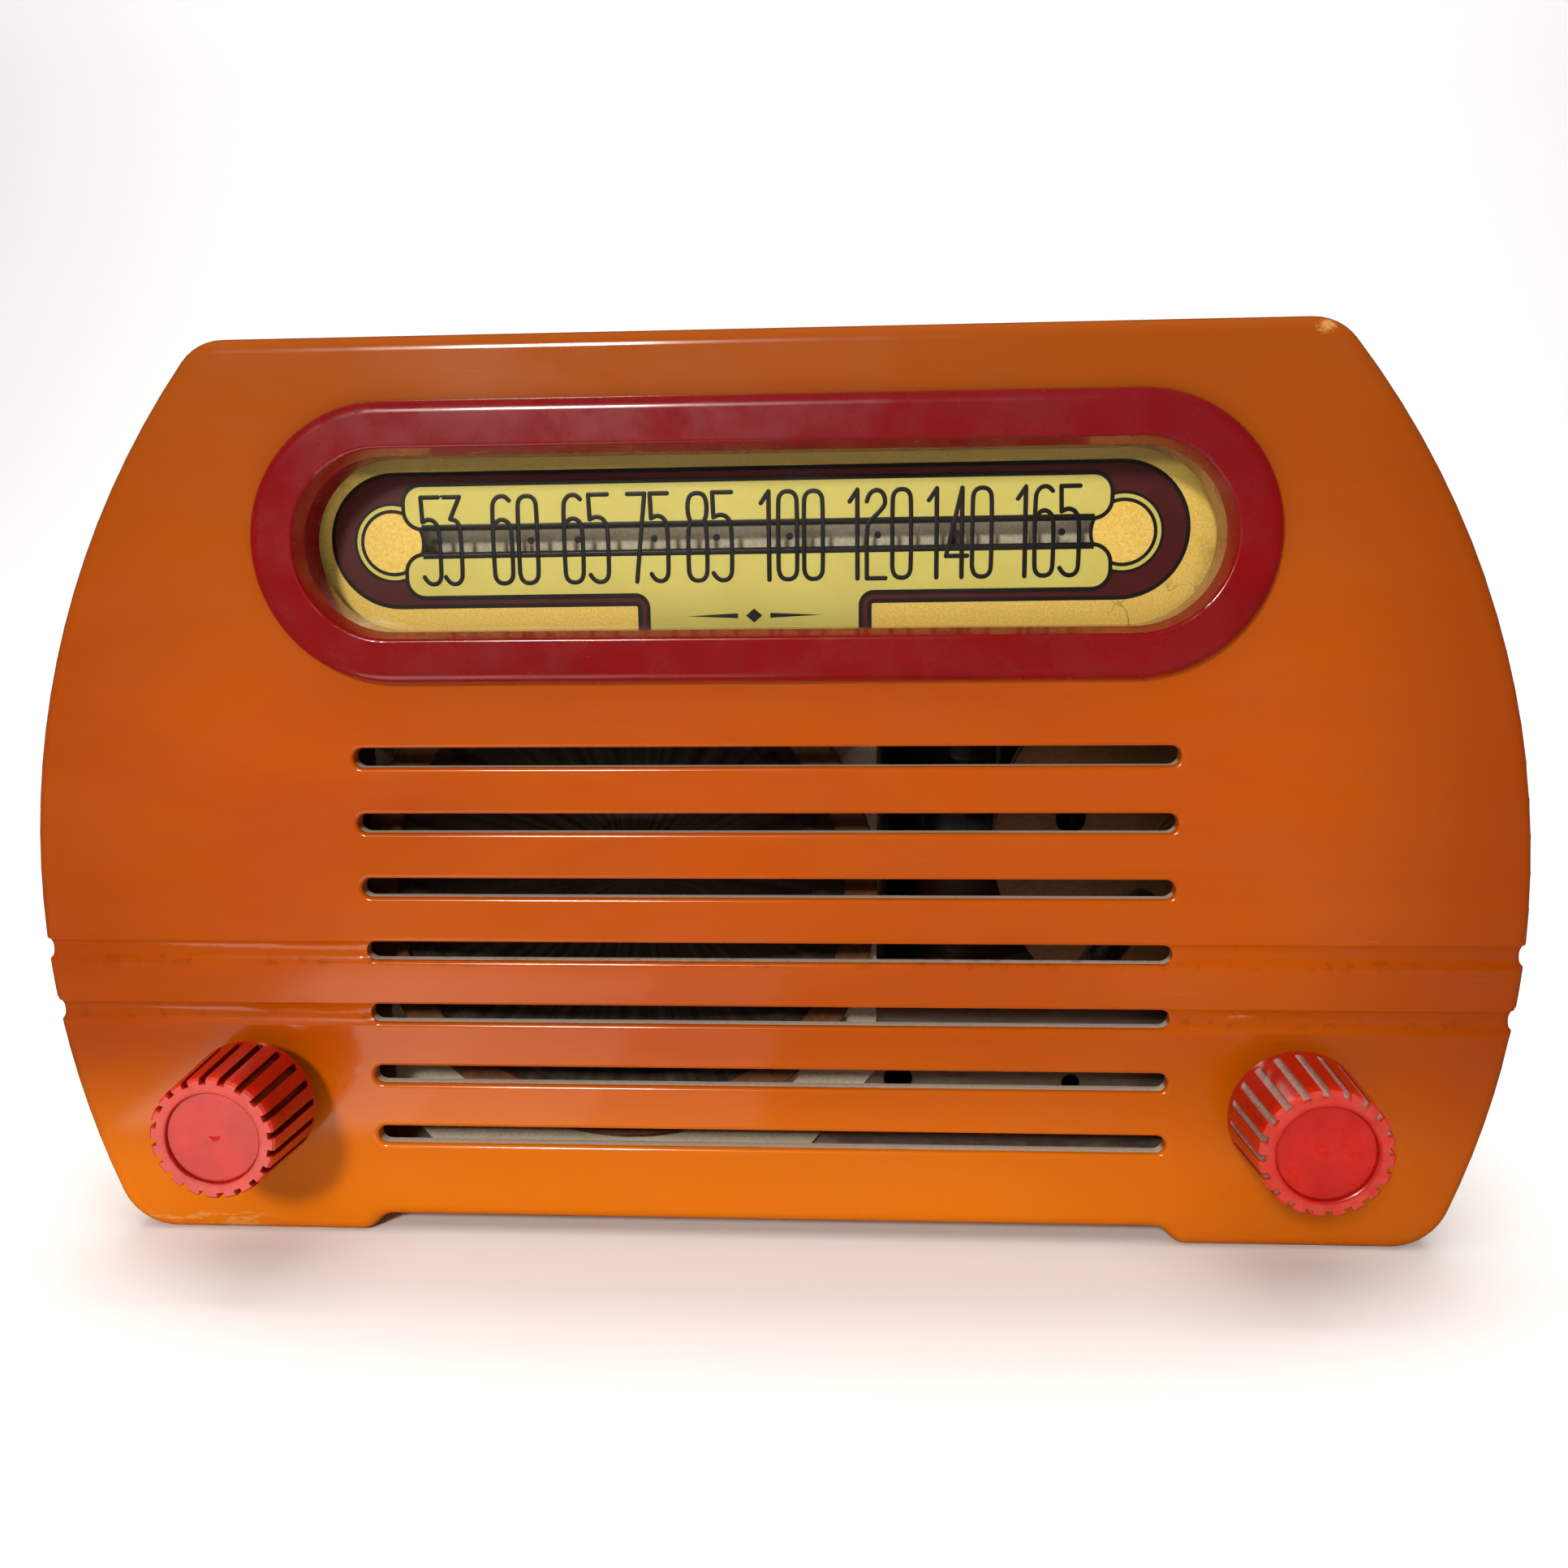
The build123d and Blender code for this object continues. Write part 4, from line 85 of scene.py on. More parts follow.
# ---------------------------------------------------------------- shader helpers
class Shader:
    """A node material, with short calls for the nodes that the finishes share."""

    def __init__(self, name):
        self.material = bpy.data.materials.new(name)
        self.material.use_nodes = True
        self.tree = self.material.node_tree
        self.tree.nodes.clear()
        self.out = self.tree.nodes.new("ShaderNodeOutputMaterial")
        self.bsdf = self.tree.nodes.new("ShaderNodeBsdfPrincipled")
        self.link(self.bsdf.outputs[0], self.out.inputs[0])
        self.coord = self.tree.nodes.new("ShaderNodeTexCoord").outputs["Object"]
        self.axes = None

    def link(self, a, b):
        self.tree.links.new(a, b)

    def feed(self, socket, value):
        """Sets a socket from a number, a colour or another node's output."""
        if isinstance(value, bpy.types.NodeSocket):
            self.link(value, socket)
        elif isinstance(value, (tuple, list)) and len(value) == 3 and socket.type == "RGBA":
            socket.default_value = (*value, 1.0)
        else:
            socket.default_value = value

    def set(self, **values):
        for key, value in values.items():
            self.feed(self.bsdf.inputs[key.replace("_", " ")], value)
        return self

    def math(self, op, a, b=0.0, c=0.0):
        node = self.tree.nodes.new("ShaderNodeMath")
        node.operation = op
        for socket, value in zip(node.inputs, (a, b, c)):
            self.feed(socket, value)
        return node.outputs[0]

    def xyz(self):
        """The object's own coordinates, in millimetres, as three outputs."""
        if self.axes is None:
            split = self.tree.nodes.new("ShaderNodeSeparateXYZ")
            self.link(self.coord, split.inputs[0])
            self.axes = [self.math("MULTIPLY", out, 1000.0) for out in split.outputs]
        return self.axes

    def step(self, value, low, high):
        """0 below low and 1 above high (or the other way round), smooth between."""
        node = self.tree.nodes.new("ShaderNodeMapRange")
        node.interpolation_type = "SMOOTHSTEP"
        ends = (0.0, 1.0) if low < high else (1.0, 0.0)
        for socket, v in zip(node.inputs, (value, min(low, high), max(low, high), *ends)):
            self.feed(socket, v)
        return node.outputs[0]

    def range(self, value, low, high, to_low, to_high):
        """value carried in a straight line from one range to another, and held at its ends."""
        node = self.tree.nodes.new("ShaderNodeMapRange")
        for socket, v in zip(node.inputs, (value, low, high, to_low, to_high)):
            self.feed(socket, v)
        return node.outputs[0]

    def noise(self, size, detail=3.0, rough=0.55, stretch=(1, 1, 1), distort=0.0):
        """Noise from 0 to 1 whose features are about size millimetres across."""
        mapping = self.tree.nodes.new("ShaderNodeMapping")
        mapping.inputs["Scale"].default_value = tuple(1.0 / s for s in stretch)
        self.link(self.coord, mapping.inputs[0])
        node = self.tree.nodes.new("ShaderNodeTexNoise")
        self.link(mapping.outputs[0], node.inputs["Vector"])
        node.inputs["Scale"].default_value = 1000.0 / size
        node.inputs["Detail"].default_value = detail
        node.inputs["Roughness"].default_value = rough
        node.inputs["Distortion"].default_value = distort
        return node.outputs["Fac"]

    def cells(self, size):
        """How far off the nearest of many scattered points is; they lie about size millimetres apart."""
        node = self.tree.nodes.new("ShaderNodeTexVoronoi")
        self.link(self.coord, node.inputs["Vector"])
        node.inputs["Scale"].default_value = 1000.0 / size
        return node.outputs["Distance"]

    def mix(self, factor, a, b):
        node = self.tree.nodes.new("ShaderNodeMix")
        node.data_type = "RGBA"
        self.feed(node.inputs[0], factor)
        self.feed(node.inputs[6], a)
        self.feed(node.inputs[7], b)
        return node.outputs[2]

    def bump(self, height, depth_mm, strength=1.0):
        node = self.tree.nodes.new("ShaderNodeBump")
        node.inputs["Strength"].default_value = strength
        node.inputs["Distance"].default_value = depth_mm * MM
        self.feed(node.inputs["Height"], height)
        self.feed(self.bsdf.inputs["Normal"], node.outputs[0])

    def upward(self):
        """How far the surface faces up, from -1 to 1."""
        normal = self.tree.nodes.new("ShaderNodeTexCoord").outputs["Normal"]
        split = self.tree.nodes.new("ShaderNodeSeparateXYZ")
        self.link(normal, split.inputs[0])
        return split.outputs["Z"]


def srgb(r, g, b):
    """A colour given on the 0 to 255 scale of a screen, as linear light."""
    return tuple((c / 255) ** 2.2 for c in (r, g, b))


def metal(name, colour, rough=0.35, tarnish_and_shade=(0.2, 0.17, 0.12), amount=0.35, brushed=(1, 1, 1)):
    """Bare metal with tarnished patches, which are also duller; amount is how strong they are."""
    s = Shader(name)
    stain = s.step(s.noise(9, 5, 0.65), 0.52, 0.72)
    fine = s.noise(0.9, 4, 0.7, brushed)
    base = s.mix(s.math("MULTIPLY", stain, amount), colour, tarnish_and_shade)
    base = s.mix(s.range(fine, 0.3, 0.7, 0.0, 0.22), base, tuple(c * 0.55 for c in colour))
    grain = s.range(fine, 0.3, 0.7, rough - 0.08, rough + 0.12)
    s.set(Base_Color=base, Metallic=1.0, Roughness=s.math("ADD", s.math("MULTIPLY", stain, 0.25), grain))
    s.bump(fine, 0.03)
    return s.material


def matt(
    name, colour, dark, rough=0.7, grain=0.6, patch=12, depth=0.05, stretch=(1, 1, 1), sheen=0.0
):
    """A dull surface, mottled between two colours over patch millimetres, with a fine grain."""
    s = Shader(name)
    fine = s.noise(grain, 4, 0.65, stretch)
    wide = s.noise(patch, 4, 0.6)
    base = s.mix(s.range(wide, 0.35, 0.7, 0.0, 0.55), colour, dark)
    base = s.mix(s.range(fine, 0.35, 0.7, 0.0, 0.45), base, tuple(c * 0.6 for c in dark))
    dullness = s.range(fine, 0.3, 0.7, rough - 0.1, min(1.0, rough + 0.15))
    s.set(Base_Color=base, Roughness=dullness, Sheen_Weight=sheen)
    s.bump(fine, depth)
    return s.material


# ---------------------------------------------------------------- the cabinet's amber phenolic
LOUVRES_HALF, LOUVRES_TOP = 90.0, 111.0
THROAT_START, THROAT_END = 1.1, 7.0
GROOVES_Z = (56.0, 45.0)
WORN_CORNER = (97.0, 168.3)
SCUFF_X, SCUFF_Z = -113.0, 4.1


def cabinet_finish():
    """Amber cast phenolic: flow marks, browner above, paler at the foot where bounce light is painted, dusty
    inside the louvres.
    """
    s = Shader("catalin_amber")
    x, y, z = s.xyz()
    flow = s.noise(38, 5, 0.6, (2.6, 1, 0.8), 0.8)
    cloud = s.noise(70, 3, 0.5)
    base = s.mix(s.range(flow, 0.35, 0.7, 0.0, 1.0), srgb(178, 78, 1), srgb(166, 68, 1))
    base = s.mix(s.range(cloud, 0.4, 0.65, 0.0, 0.45), base, srgb(178, 84, 2))
    # browner towards the top
    browner_up = s.step(s.math("ADD", z, s.math("MULTIPLY", cloud, 26.0)), 96, 186)
    base = s.mix(s.math("MULTIPLY", browner_up, 0.75), base, srgb(140, 72, 24))
    # darker towards the ends, most of all the right one
    ends = s.step(s.math("ABSOLUTE", x), 92, 142)
    right = s.range(x, -40, 90, 0.34, 0.6)
    base = s.mix(s.math("MULTIPLY", ends, right), base, srgb(122, 46, 3))
    # painted light: paler and yellower near the foot, most of all left of the middle, where light bounced off
    # the table falls
    pale = s.math("MULTIPLY", s.step(z, 42, 4), s.range(x, 40, 130, 1.0, 0.3))
    base = s.mix(pale, base, srgb(222, 116, 5))
    # pale dust on the ledges inside the louvres, and a dulled throat
    in_front = s.step(y, FACE_Y + THROAT_END + 1.0, FACE_Y + THROAT_END - 1.0)
    throat = s.math("MULTIPLY", s.step(y, FACE_Y + THROAT_START - 0.2, FACE_Y + THROAT_START + 0.2), in_front)
    inside = s.step(s.math("ABSOLUTE", x), LOUVRES_HALF + 2.0, LOUVRES_HALF - 2.0)
    inside = s.math("MULTIPLY", inside, s.step(z, LOUVRES_TOP + 1.0, LOUVRES_TOP - 1.0))
    inside = s.math("MULTIPLY", throat, inside)
    ledge = s.math("MULTIPLY", inside, s.step(s.upward(), 0.35, 0.8))
    speck = s.range(s.noise(0.7, 3, 0.7), 0.3, 0.62, 0.7, 1.0)
    base = s.mix(s.math("MULTIPLY", ledge, speck), base, srgb(252, 244, 226))
    base = s.mix(s.math("MULTIPLY", inside, 0.35), base, srgb(120, 82, 48))
    # small chips and specks, paler than the body
    spots = s.step(s.cells(21), 0.045, 0.02)
    spots = s.math("MULTIPLY", spots, s.step(s.noise(60, 2), 0.52, 0.6))
    base = s.mix(s.math("MULTIPLY", spots, 0.65), base, srgb(230, 140, 40))
    # a corner rubbed through its polish, at the upper right
    aside = s.math("POWER", s.math("SUBTRACT", x, WORN_CORNER[0]), 2.0)
    above = s.math("POWER", s.math("SUBTRACT", z, WORN_CORNER[1]), 2.0)
    corner = s.math("POWER", s.math("ADD", aside, above), 0.5)
    corner = s.math("ADD", corner, s.math("MULTIPLY", s.noise(2.4, 3, 0.7), 4.5))
    worn = s.math("MULTIPLY", s.step(corner, 4.0, 2.8), s.step(y, FACE_Y + 5, FACE_Y + 3))
    base = s.mix(s.math("MULTIPLY", worn, 0.6), base, srgb(222, 168, 96))
    # pale scuffs along the lower left edge, where the case has stood on rough tables
    along = s.math("ABSOLUTE", s.math("SUBTRACT", x, SCUFF_X))
    foot = s.math("MULTIPLY", s.step(z, SCUFF_Z + 0.5, SCUFF_Z - 0.5), s.step(along, 17.0, 9.0))
    foot = s.math("MULTIPLY", foot, s.step(s.noise(1.1, 3, 0.7, (5, 1, 1)), 0.5, 0.6))
    base = s.mix(s.math("MULTIPLY", foot, 0.7), base, srgb(224, 158, 88))
    # crumbs of dirt held in the two grooves that run round the case
    groove = s.math("MINIMUM", *(s.math("ABSOLUTE", s.math("SUBTRACT", z, level)) for level in GROOVES_Z))
    dirt = s.math("MULTIPLY", s.step(groove, 1.4, 0.6), s.step(s.noise(3, 4, 0.7), 0.5, 0.66))
    base = s.mix(s.math("MULTIPLY", dirt, 0.35), base, srgb(110, 52, 10))
    haze = s.noise(16, 5, 0.65, (2.0, 1, 1))
    scratch = s.step(s.noise(0.5, 2, 0.5, (24, 24, 1)), 0.66, 0.74)
    rough = s.range(haze, 0.35, 0.7, 0.16, 0.27)
    rough = s.math("ADD", rough, s.math("MULTIPLY", scratch, 0.04))
    rough = s.math("ADD", rough, s.math("MULTIPLY", inside, 0.4))
    s.set(
        Base_Color=base, Roughness=rough, Subsurface_Weight=0.12, Subsurface_Radius=(1.0, 0.42, 0.08),
        Subsurface_Scale=0.005, Specular_IOR_Level=0.3, Coat_Weight=0.5, Coat_Roughness=0.1, Coat_IOR=1.5,
    )
    wavy = s.math("ADD", s.noise(26, 2, 0.4), s.math("MULTIPLY", haze, 0.06))
    s.bump(wavy, 0.35, 0.5)
    return s.material


def bezel_finish():
    """Maroon cast phenolic, scuffed, chipped along its lower edge and tinted above by a painted reflection."""
    s = Shader("catalin_maroon")
    x, y, z = s.xyz()
    flow = s.noise(24, 5, 0.6, (3, 1, 1), 0.6)
    base = s.mix(s.range(flow, 0.35, 0.7, 0.0, 1.0), srgb(130, 13, 17), srgb(111, 8, 12))
    # painted reflection: a haze of reflected light tints the upper part a duller, greyer maroon
    upper = s.step(z, 126, 158)
    base = s.mix(s.math("MULTIPLY", upper, 0.5), base, srgb(112, 26, 34))
    scuff = s.step(s.noise(5, 5, 0.75, (3, 1, 1)), 0.63, 0.72)
    scuff = s.math("MULTIPLY", scuff, s.step(s.noise(30, 2), 0.45, 0.6))
    base = s.mix(s.math("MULTIPLY", scuff, 0.35), base, srgb(156, 62, 54))
    chips = s.math("MULTIPLY", s.step(s.cells(11), 0.05, 0.025), s.step(z, 122, 114))
    base = s.mix(s.math("MULTIPLY", chips, 0.5), base, srgb(196, 84, 44))
    rough = s.range(s.noise(9, 4, 0.6), 0.35, 0.7, 0.20, 0.34)
    rough = s.math("ADD", rough, s.math("MULTIPLY", scuff, 0.2))
    s.set(
        Base_Color=base, Roughness=rough, Subsurface_Weight=0.12, Subsurface_Radius=(1.0, 0.12, 0.1),
        Subsurface_Scale=0.003, Specular_IOR_Level=0.4, Coat_Weight=0.5, Coat_Roughness=0.1,
    )
    s.bump(s.noise(14, 3, 0.5), 0.15, 0.5)
    return s.material


RING_R = 8.5


def knob_finish(node, grime_and_shadow, amount):
    """Red phenolic: painted shade on its sides, flutes holding grey dirt on one knob and painted shadow on the
    other, a painted shadow line round the front disc and a pale rim, part worn and part painted highlight.
    """
    low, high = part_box(node)
    s = Shader("catalin_red_" + node)
    x, y, z = s.xyz()
    dx = s.math("SUBTRACT", x, (low.x + high.x) / 2 / MM)
    dz = s.math("SUBTRACT", z, (low.z + high.z) / 2 / MM)
    radius = s.math("SQRT", s.math("ADD", s.math("MULTIPLY", dx, dx), s.math("MULTIPLY", dz, dz)))
    front, back = low.y / MM, high.y / MM
    back_r = (high.x - low.x) / 2 / MM
    skirt = s.range(y, front, back, back_r - 0.9, back_r)
    sunk = s.math("SUBTRACT", skirt, radius)
    flow = s.noise(11, 5, 0.6, (1, 1, 1), 0.5)
    base = s.mix(s.range(flow, 0.35, 0.7, 0.0, 1.0), srgb(198, 30, 9), srgb(174, 16, 7))
    # painted shade: the knob's sides are darker than its front face
    side = s.step(y, front + 1.2, front + 3.0)
    base = s.mix(s.math("MULTIPLY", side, 0.45), base, srgb(120, 10, 12))
    # the flutes take the colour given: grey dirt on the tuning knob, painted shadow on the volume knob
    flute = s.math("MULTIPLY", s.step(sunk, 0.18, 0.5), s.step(y, front + 0.5, front + 1.2))
    flute = s.math("MULTIPLY", flute, s.step(radius, RING_R + 0.5, RING_R + 1.1))
    patchy_fill = s.range(s.noise(1.0, 5, 0.75), 0.25, 0.6, 0.35, 1.0)
    base = s.mix(s.math("MULTIPLY", s.math("MULTIPLY", flute, patchy_fill), amount), base, grime_and_shadow)
    # painted shade: a dark line in the crease round the recessed front disc
    ring = s.step(s.math("ABSOLUTE", s.math("SUBTRACT", radius, RING_R)), 0.28, 0.08)
    base = s.mix(s.math("MULTIPLY", ring, 0.55), base, srgb(110, 10, 8))
    # a pale front rim, partly worn and partly a painted highlight
    rim = s.math("MULTIPLY", s.step(radius, RING_R + 0.4, RING_R + 0.9), s.step(y, front + 0.9, front + 0.3))
    rubbed_and_sheen = s.range(s.noise(2.4, 4, 0.7), 0.3, 0.7, 0.1, 0.5)
    base = s.mix(s.math("MULTIPLY", rim, rubbed_and_sheen), base, srgb(210, 92, 78))
    wear = s.math("MULTIPLY", s.step(s.noise(3, 5, 0.7), 0.58, 0.7), s.step(y, front + 1.0, front))
    base = s.mix(s.math("MULTIPLY", wear, 0.35), base, srgb(206, 72, 52))
    rough = s.range(s.noise(2.2, 4, 0.7), 0.3, 0.7, 0.22, 0.44)
    rough = s.math("ADD", rough, s.math("MULTIPLY", flute, 0.35))
    s.set(
        Base_Color=base, Roughness=rough, Subsurface_Weight=0.12, Subsurface_Radius=(1.0, 0.12, 0.08),
        Subsurface_Scale=0.003, Specular_IOR_Level=0.45, Coat_Weight=0.5, Coat_Roughness=0.12,
    )
    s.bump(s.noise(1.6, 4, 0.65), 0.06, 0.6)
    return s.material


# how much light glass reflects when it is met squarely
GLASS_GLOSS = 0.04


def clear_glass(name, tint, dust=0.06, wide=20, silver=None):
    """Thin clear glass: it lets straight light through and reflects more at a slant. dust is how
    thick its film of dust is, in patches wide millimetres across; silver is the two heights between
    which a valve's silvery flash begins."""
    s = Shader(name)
    through = s.tree.nodes.new("ShaderNodeBsdfTransparent")
    through.inputs[0].default_value = (*tint, 1)
    shine = s.tree.nodes.new("ShaderNodeBsdfGlossy")
    shine.inputs["Roughness"].default_value = 0.03
    slant = s.tree.nodes.new("ShaderNodeLayerWeight").outputs["Facing"]
    gloss = s.math("MULTIPLY_ADD", s.math("POWER", slant, 5.0), 1.0 - GLASS_GLOSS, GLASS_GLOSS)
    wave = s.tree.nodes.new("ShaderNodeBump")
    wave.inputs["Distance"].default_value = 0.1 * MM
    s.link(s.noise(18, 2, 0.5), wave.inputs["Height"])
    s.link(wave.outputs[0], shine.inputs["Normal"])
    first = s.tree.nodes.new("ShaderNodeMixShader")
    s.link(gloss, first.inputs[0])
    s.link(through.outputs[0], first.inputs[1])
    s.link(shine.outputs[0], first.inputs[2])
    film = s.math("MULTIPLY", s.range(s.noise(wide, 5, 0.7), 0.4, 0.75, 0.0, 1.0), dust)
    film = s.math("ADD", film, s.math("MULTIPLY", s.step(s.noise(0.6, 2, 0.6), 0.68, 0.75), dust))
    s.set(Base_Color=srgb(190, 184, 170), Roughness=0.8)
    if silver:
        height = s.math("ADD", s.xyz()[2], s.math("MULTIPLY", s.noise(9, 4, 0.7), 9.0))
        flash = s.step(height, *silver)
        film = s.math("MAXIMUM", film, s.math("MULTIPLY", flash, 0.85))
        s.set(Base_Color=srgb(176, 178, 180), Metallic=0.8, Roughness=0.25)
    second = s.tree.nodes.new("ShaderNodeMixShader")
    s.link(film, second.inputs[0])
    s.link(first.outputs[0], second.inputs[1])
    s.link(s.bsdf.outputs[0], second.inputs[2])
    s.link(second.outputs[0], s.out.inputs[0])
    return s.material


def print_finish(name, colour, dark, rough):
    """Old printing ink, uneven between two colours."""
    s = Shader(name)
    fine = s.noise(0.5, 3, 0.6)
    wide = s.noise(14, 4, 0.6)
    base = s.mix(s.range(wide, 0.4, 0.7, 0.0, 0.5), colour, dark)
    base = s.mix(s.range(fine, 0.4, 0.7, 0.0, 0.35), base, dark)
    s.set(Base_Color=base, Roughness=rough)
    s.bump(fine, 0.01)
    return s.material


def gold_finish():
    """Gold bronze paint: grainy, dirty towards the dial's ends, cracked near the right one, with painted
    shadow under the bezel's upper lip.
    """
    s = Shader("dial_gold")
    x, y, z = s.xyz()
    fleck = s.noise(0.42, 3, 0.75)
    base = s.mix(s.range(fleck, 0.35, 0.66, 0.0, 1.0), srgb(255, 226, 122), srgb(240, 190, 76))
    stain = s.step(s.noise(9, 5, 0.7), 0.5, 0.7)
    ends = s.math("MAXIMUM", s.step(x, 74, 84), s.step(x, -72, -82))
    dirt = s.math("MULTIPLY", stain, ends)
    base = s.mix(s.math("MULTIPLY", dirt, 0.5), base, srgb(128, 108, 70))
    crack = s.step(s.math("ABSOLUTE", s.math("SUBTRACT", s.noise(16, 4, 0.6), 0.5)), 0.012, 0.004)
    crack = s.math("MULTIPLY", crack, s.math("MULTIPLY", s.step(x, 62, 70), s.step(z, 127, 122)))
    base = s.mix(s.math("MULTIPLY", crack, 0.8), base, srgb(96, 80, 52))
    # painted shadow: darker under the bezel's upper lip, where the lip's shadow falls on the dial
    height = s.math("ADD", z, s.math("MULTIPLY", s.noise(12, 3), 2.0))
    tarnish_and_shade = s.step(height, 147.0, 149.0)
    base = s.mix(s.math("MULTIPLY", tarnish_and_shade, 0.62), base, srgb(78, 56, 38))
    s.set(Base_Color=base, Roughness=0.42, Metallic=0.05)
    s.bump(fleck, 0.03)
    return s.material


def cone_finish():
    """Felted paper with faint radial streaks, dusty."""
    s = Shader("cone_paper")
    low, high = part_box("speaker_cone")
    x, _, z = s.xyz()
    dx = s.math("SUBTRACT", x, (low.x + high.x) / 2 / MM)
    dz = s.math("SUBTRACT", z, (low.z + high.z) / 2 / MM)
    angle = s.math("ARCTAN2", dz, dx)
    node = s.tree.nodes.new("ShaderNodeTexNoise")
    node.noise_dimensions = "1D"
    node.inputs["Scale"].default_value = 14.0
    node.inputs["Detail"].default_value = 5.0
    s.link(angle, node.inputs["W"])
    streak = node.outputs["Fac"]
    fibre = s.noise(1.4, 5, 0.7)
    base = s.mix(s.range(streak, 0.35, 0.65, 0.0, 1.0), srgb(50, 40, 33), srgb(82, 69, 57))
    base = s.mix(s.range(fibre, 0.4, 0.7, 0.0, 0.5), base, srgb(50, 42, 36))
    s.set(Base_Color=base, Roughness=0.9, Sheen_Weight=0.15)
    s.bump(s.math("ADD", fibre, s.math("MULTIPLY", streak, 0.5)), 0.15)
    return s.material


def board_finish():
    """Pressed brown board with a fine lengthwise grain, rubbed in patches."""
    s = Shader("back_board")
    fibre = s.noise(0.8, 5, 0.7, (4, 1, 1))
    wide = s.noise(30, 4, 0.6)
    base = s.mix(s.range(wide, 0.35, 0.7, 0.0, 1.0), srgb(96, 66, 42), srgb(76, 50, 32))
    base = s.mix(s.range(fibre, 0.4, 0.7, 0.0, 0.6), base, srgb(120, 90, 60))
    rub = s.step(s.noise(6, 5, 0.75), 0.62, 0.72)
    base = s.mix(s.math("MULTIPLY", rub, 0.35), base, srgb(146, 116, 84))
    s.set(Base_Color=base, Roughness=s.range(fibre, 0.3, 0.7, 0.6, 0.85))
    s.bump(fibre, 0.08)
    return s.material


# one finish for each material slot of the record
FINISHES = {
    "catalin_case": cabinet_finish(),
    "catalin_bezel": bezel_finish(),
    "dial_glass": clear_glass("dial_glass_clear", (0.985, 0.985, 0.975), 0.01),
    "dial_paper": matt("dial_card", srgb(236, 228, 208), srgb(198, 186, 158), 0.7, 0.6, 18, 0.02),
    "felt": matt("felt_strip", srgb(46, 38, 32), srgb(30, 24, 20), 0.95, 0.4, 8, 0.1, sheen=0.4),
    "pointer_paint": matt("pointer_maroon", srgb(96, 20, 30), srgb(70, 12, 20), 0.4, 0.5, 6, 0.01),
    "spring_steel": metal("spring_steel_dull", (0.32, 0.31, 0.30), 0.38, (0.18, 0.1, 0.05), 0.5),
    "cadmium_steel": metal(
        "cadmium_tarnished", (0.56, 0.53, 0.46), 0.42, (0.27, 0.22, 0.14), 0.55, (3, 1, 1)
    ),
    "shaft_steel": metal("shaft_turned", (0.55, 0.54, 0.51), 0.28, (0.3, 0.24, 0.16), 0.25, (1, 0.2, 1)),
    "brass": metal("brass_turned", (0.62, 0.44, 0.16), 0.3, (0.26, 0.16, 0.06), 0.45, (1, 0.2, 1)),
    "drum_board": matt("drum_fibre", srgb(176, 128, 78), srgb(132, 88, 50), 0.6, 0.7, 14, 0.06, (2, 1, 1)),
    "pulley_brass": metal("pulley_dull", (0.52, 0.38, 0.16), 0.36, (0.22, 0.15, 0.07), 0.5),
    "cord": matt("cord_braid", srgb(104, 78, 50), srgb(66, 48, 30), 0.85, 0.35, 3, 0.12, (1, 1, 0.4)),
    "baffle_card": matt("baffle_cream", srgb(232, 222, 198), srgb(196, 182, 152), 0.75, 0.5, 16, 0.04),
    "gasket_cork": matt("gasket_board", srgb(136, 92, 56), srgb(96, 62, 38), 0.9, 1.1, 7, 0.18),
    "cone_paper": cone_finish(),
    "magnet_iron": matt("magnet_paint", srgb(66, 62, 58), srgb(44, 40, 38), 0.5, 0.9, 10, 0.08),
    "capacitor_alu": metal("soft_aluminium", (0.66, 0.67, 0.67), 0.36, (0.38, 0.36, 0.32), 0.4, (1, 1, 3)),
    "bakelite_brown": matt("bakelite_dark", srgb(60, 36, 24), srgb(38, 22, 16), 0.38, 0.9, 9, 0.02),
    "trimmer_mica": matt("trimmer_ceramic", srgb(196, 186, 160), srgb(150, 138, 112), 0.5, 0.7, 6, 0.04),
    "tube_glass": clear_glass("valve_glass", (0.93, 0.94, 0.92), 0.34, 8, (108, 113)),
    "electrode_metal": metal("electrode_black", (0.12, 0.12, 0.12), 0.5, (0.2, 0.2, 0.2), 0.4),
    "lamp_glass": clear_glass("lamp_clear", (0.95, 0.93, 0.86), 0.08, 5),
    "winding_paper": matt(
        "winding_varnished", srgb(170, 132, 78), srgb(120, 86, 46), 0.45, 0.8, 8, 0.08, (1, 1, 6)
    ),
    "antenna_cotton": matt(
        "antenna_windings", srgb(128, 80, 38), srgb(84, 50, 22), 0.8, 0.5, 5, 0.12, (8, 1, 1)
    ),
    "back_board": board_finish(),
    "black_rubber": matt("rubber_black", srgb(34, 33, 32), srgb(20, 20, 20), 0.7, 0.6, 6, 0.04),
    "wax_paper": matt("waxed_paper", srgb(178, 146, 88), srgb(128, 96, 52), 0.4, 0.9, 7, 0.06),
    "resistor_body": matt("resistor_paint", srgb(124, 58, 36), srgb(84, 36, 22), 0.45, 0.6, 5, 0.03),
    "wire_cloth": matt("wire_braid", srgb(150, 84, 36), srgb(96, 50, 20), 0.85, 0.4, 3, 0.12, (1, 1, 0.4)),
}
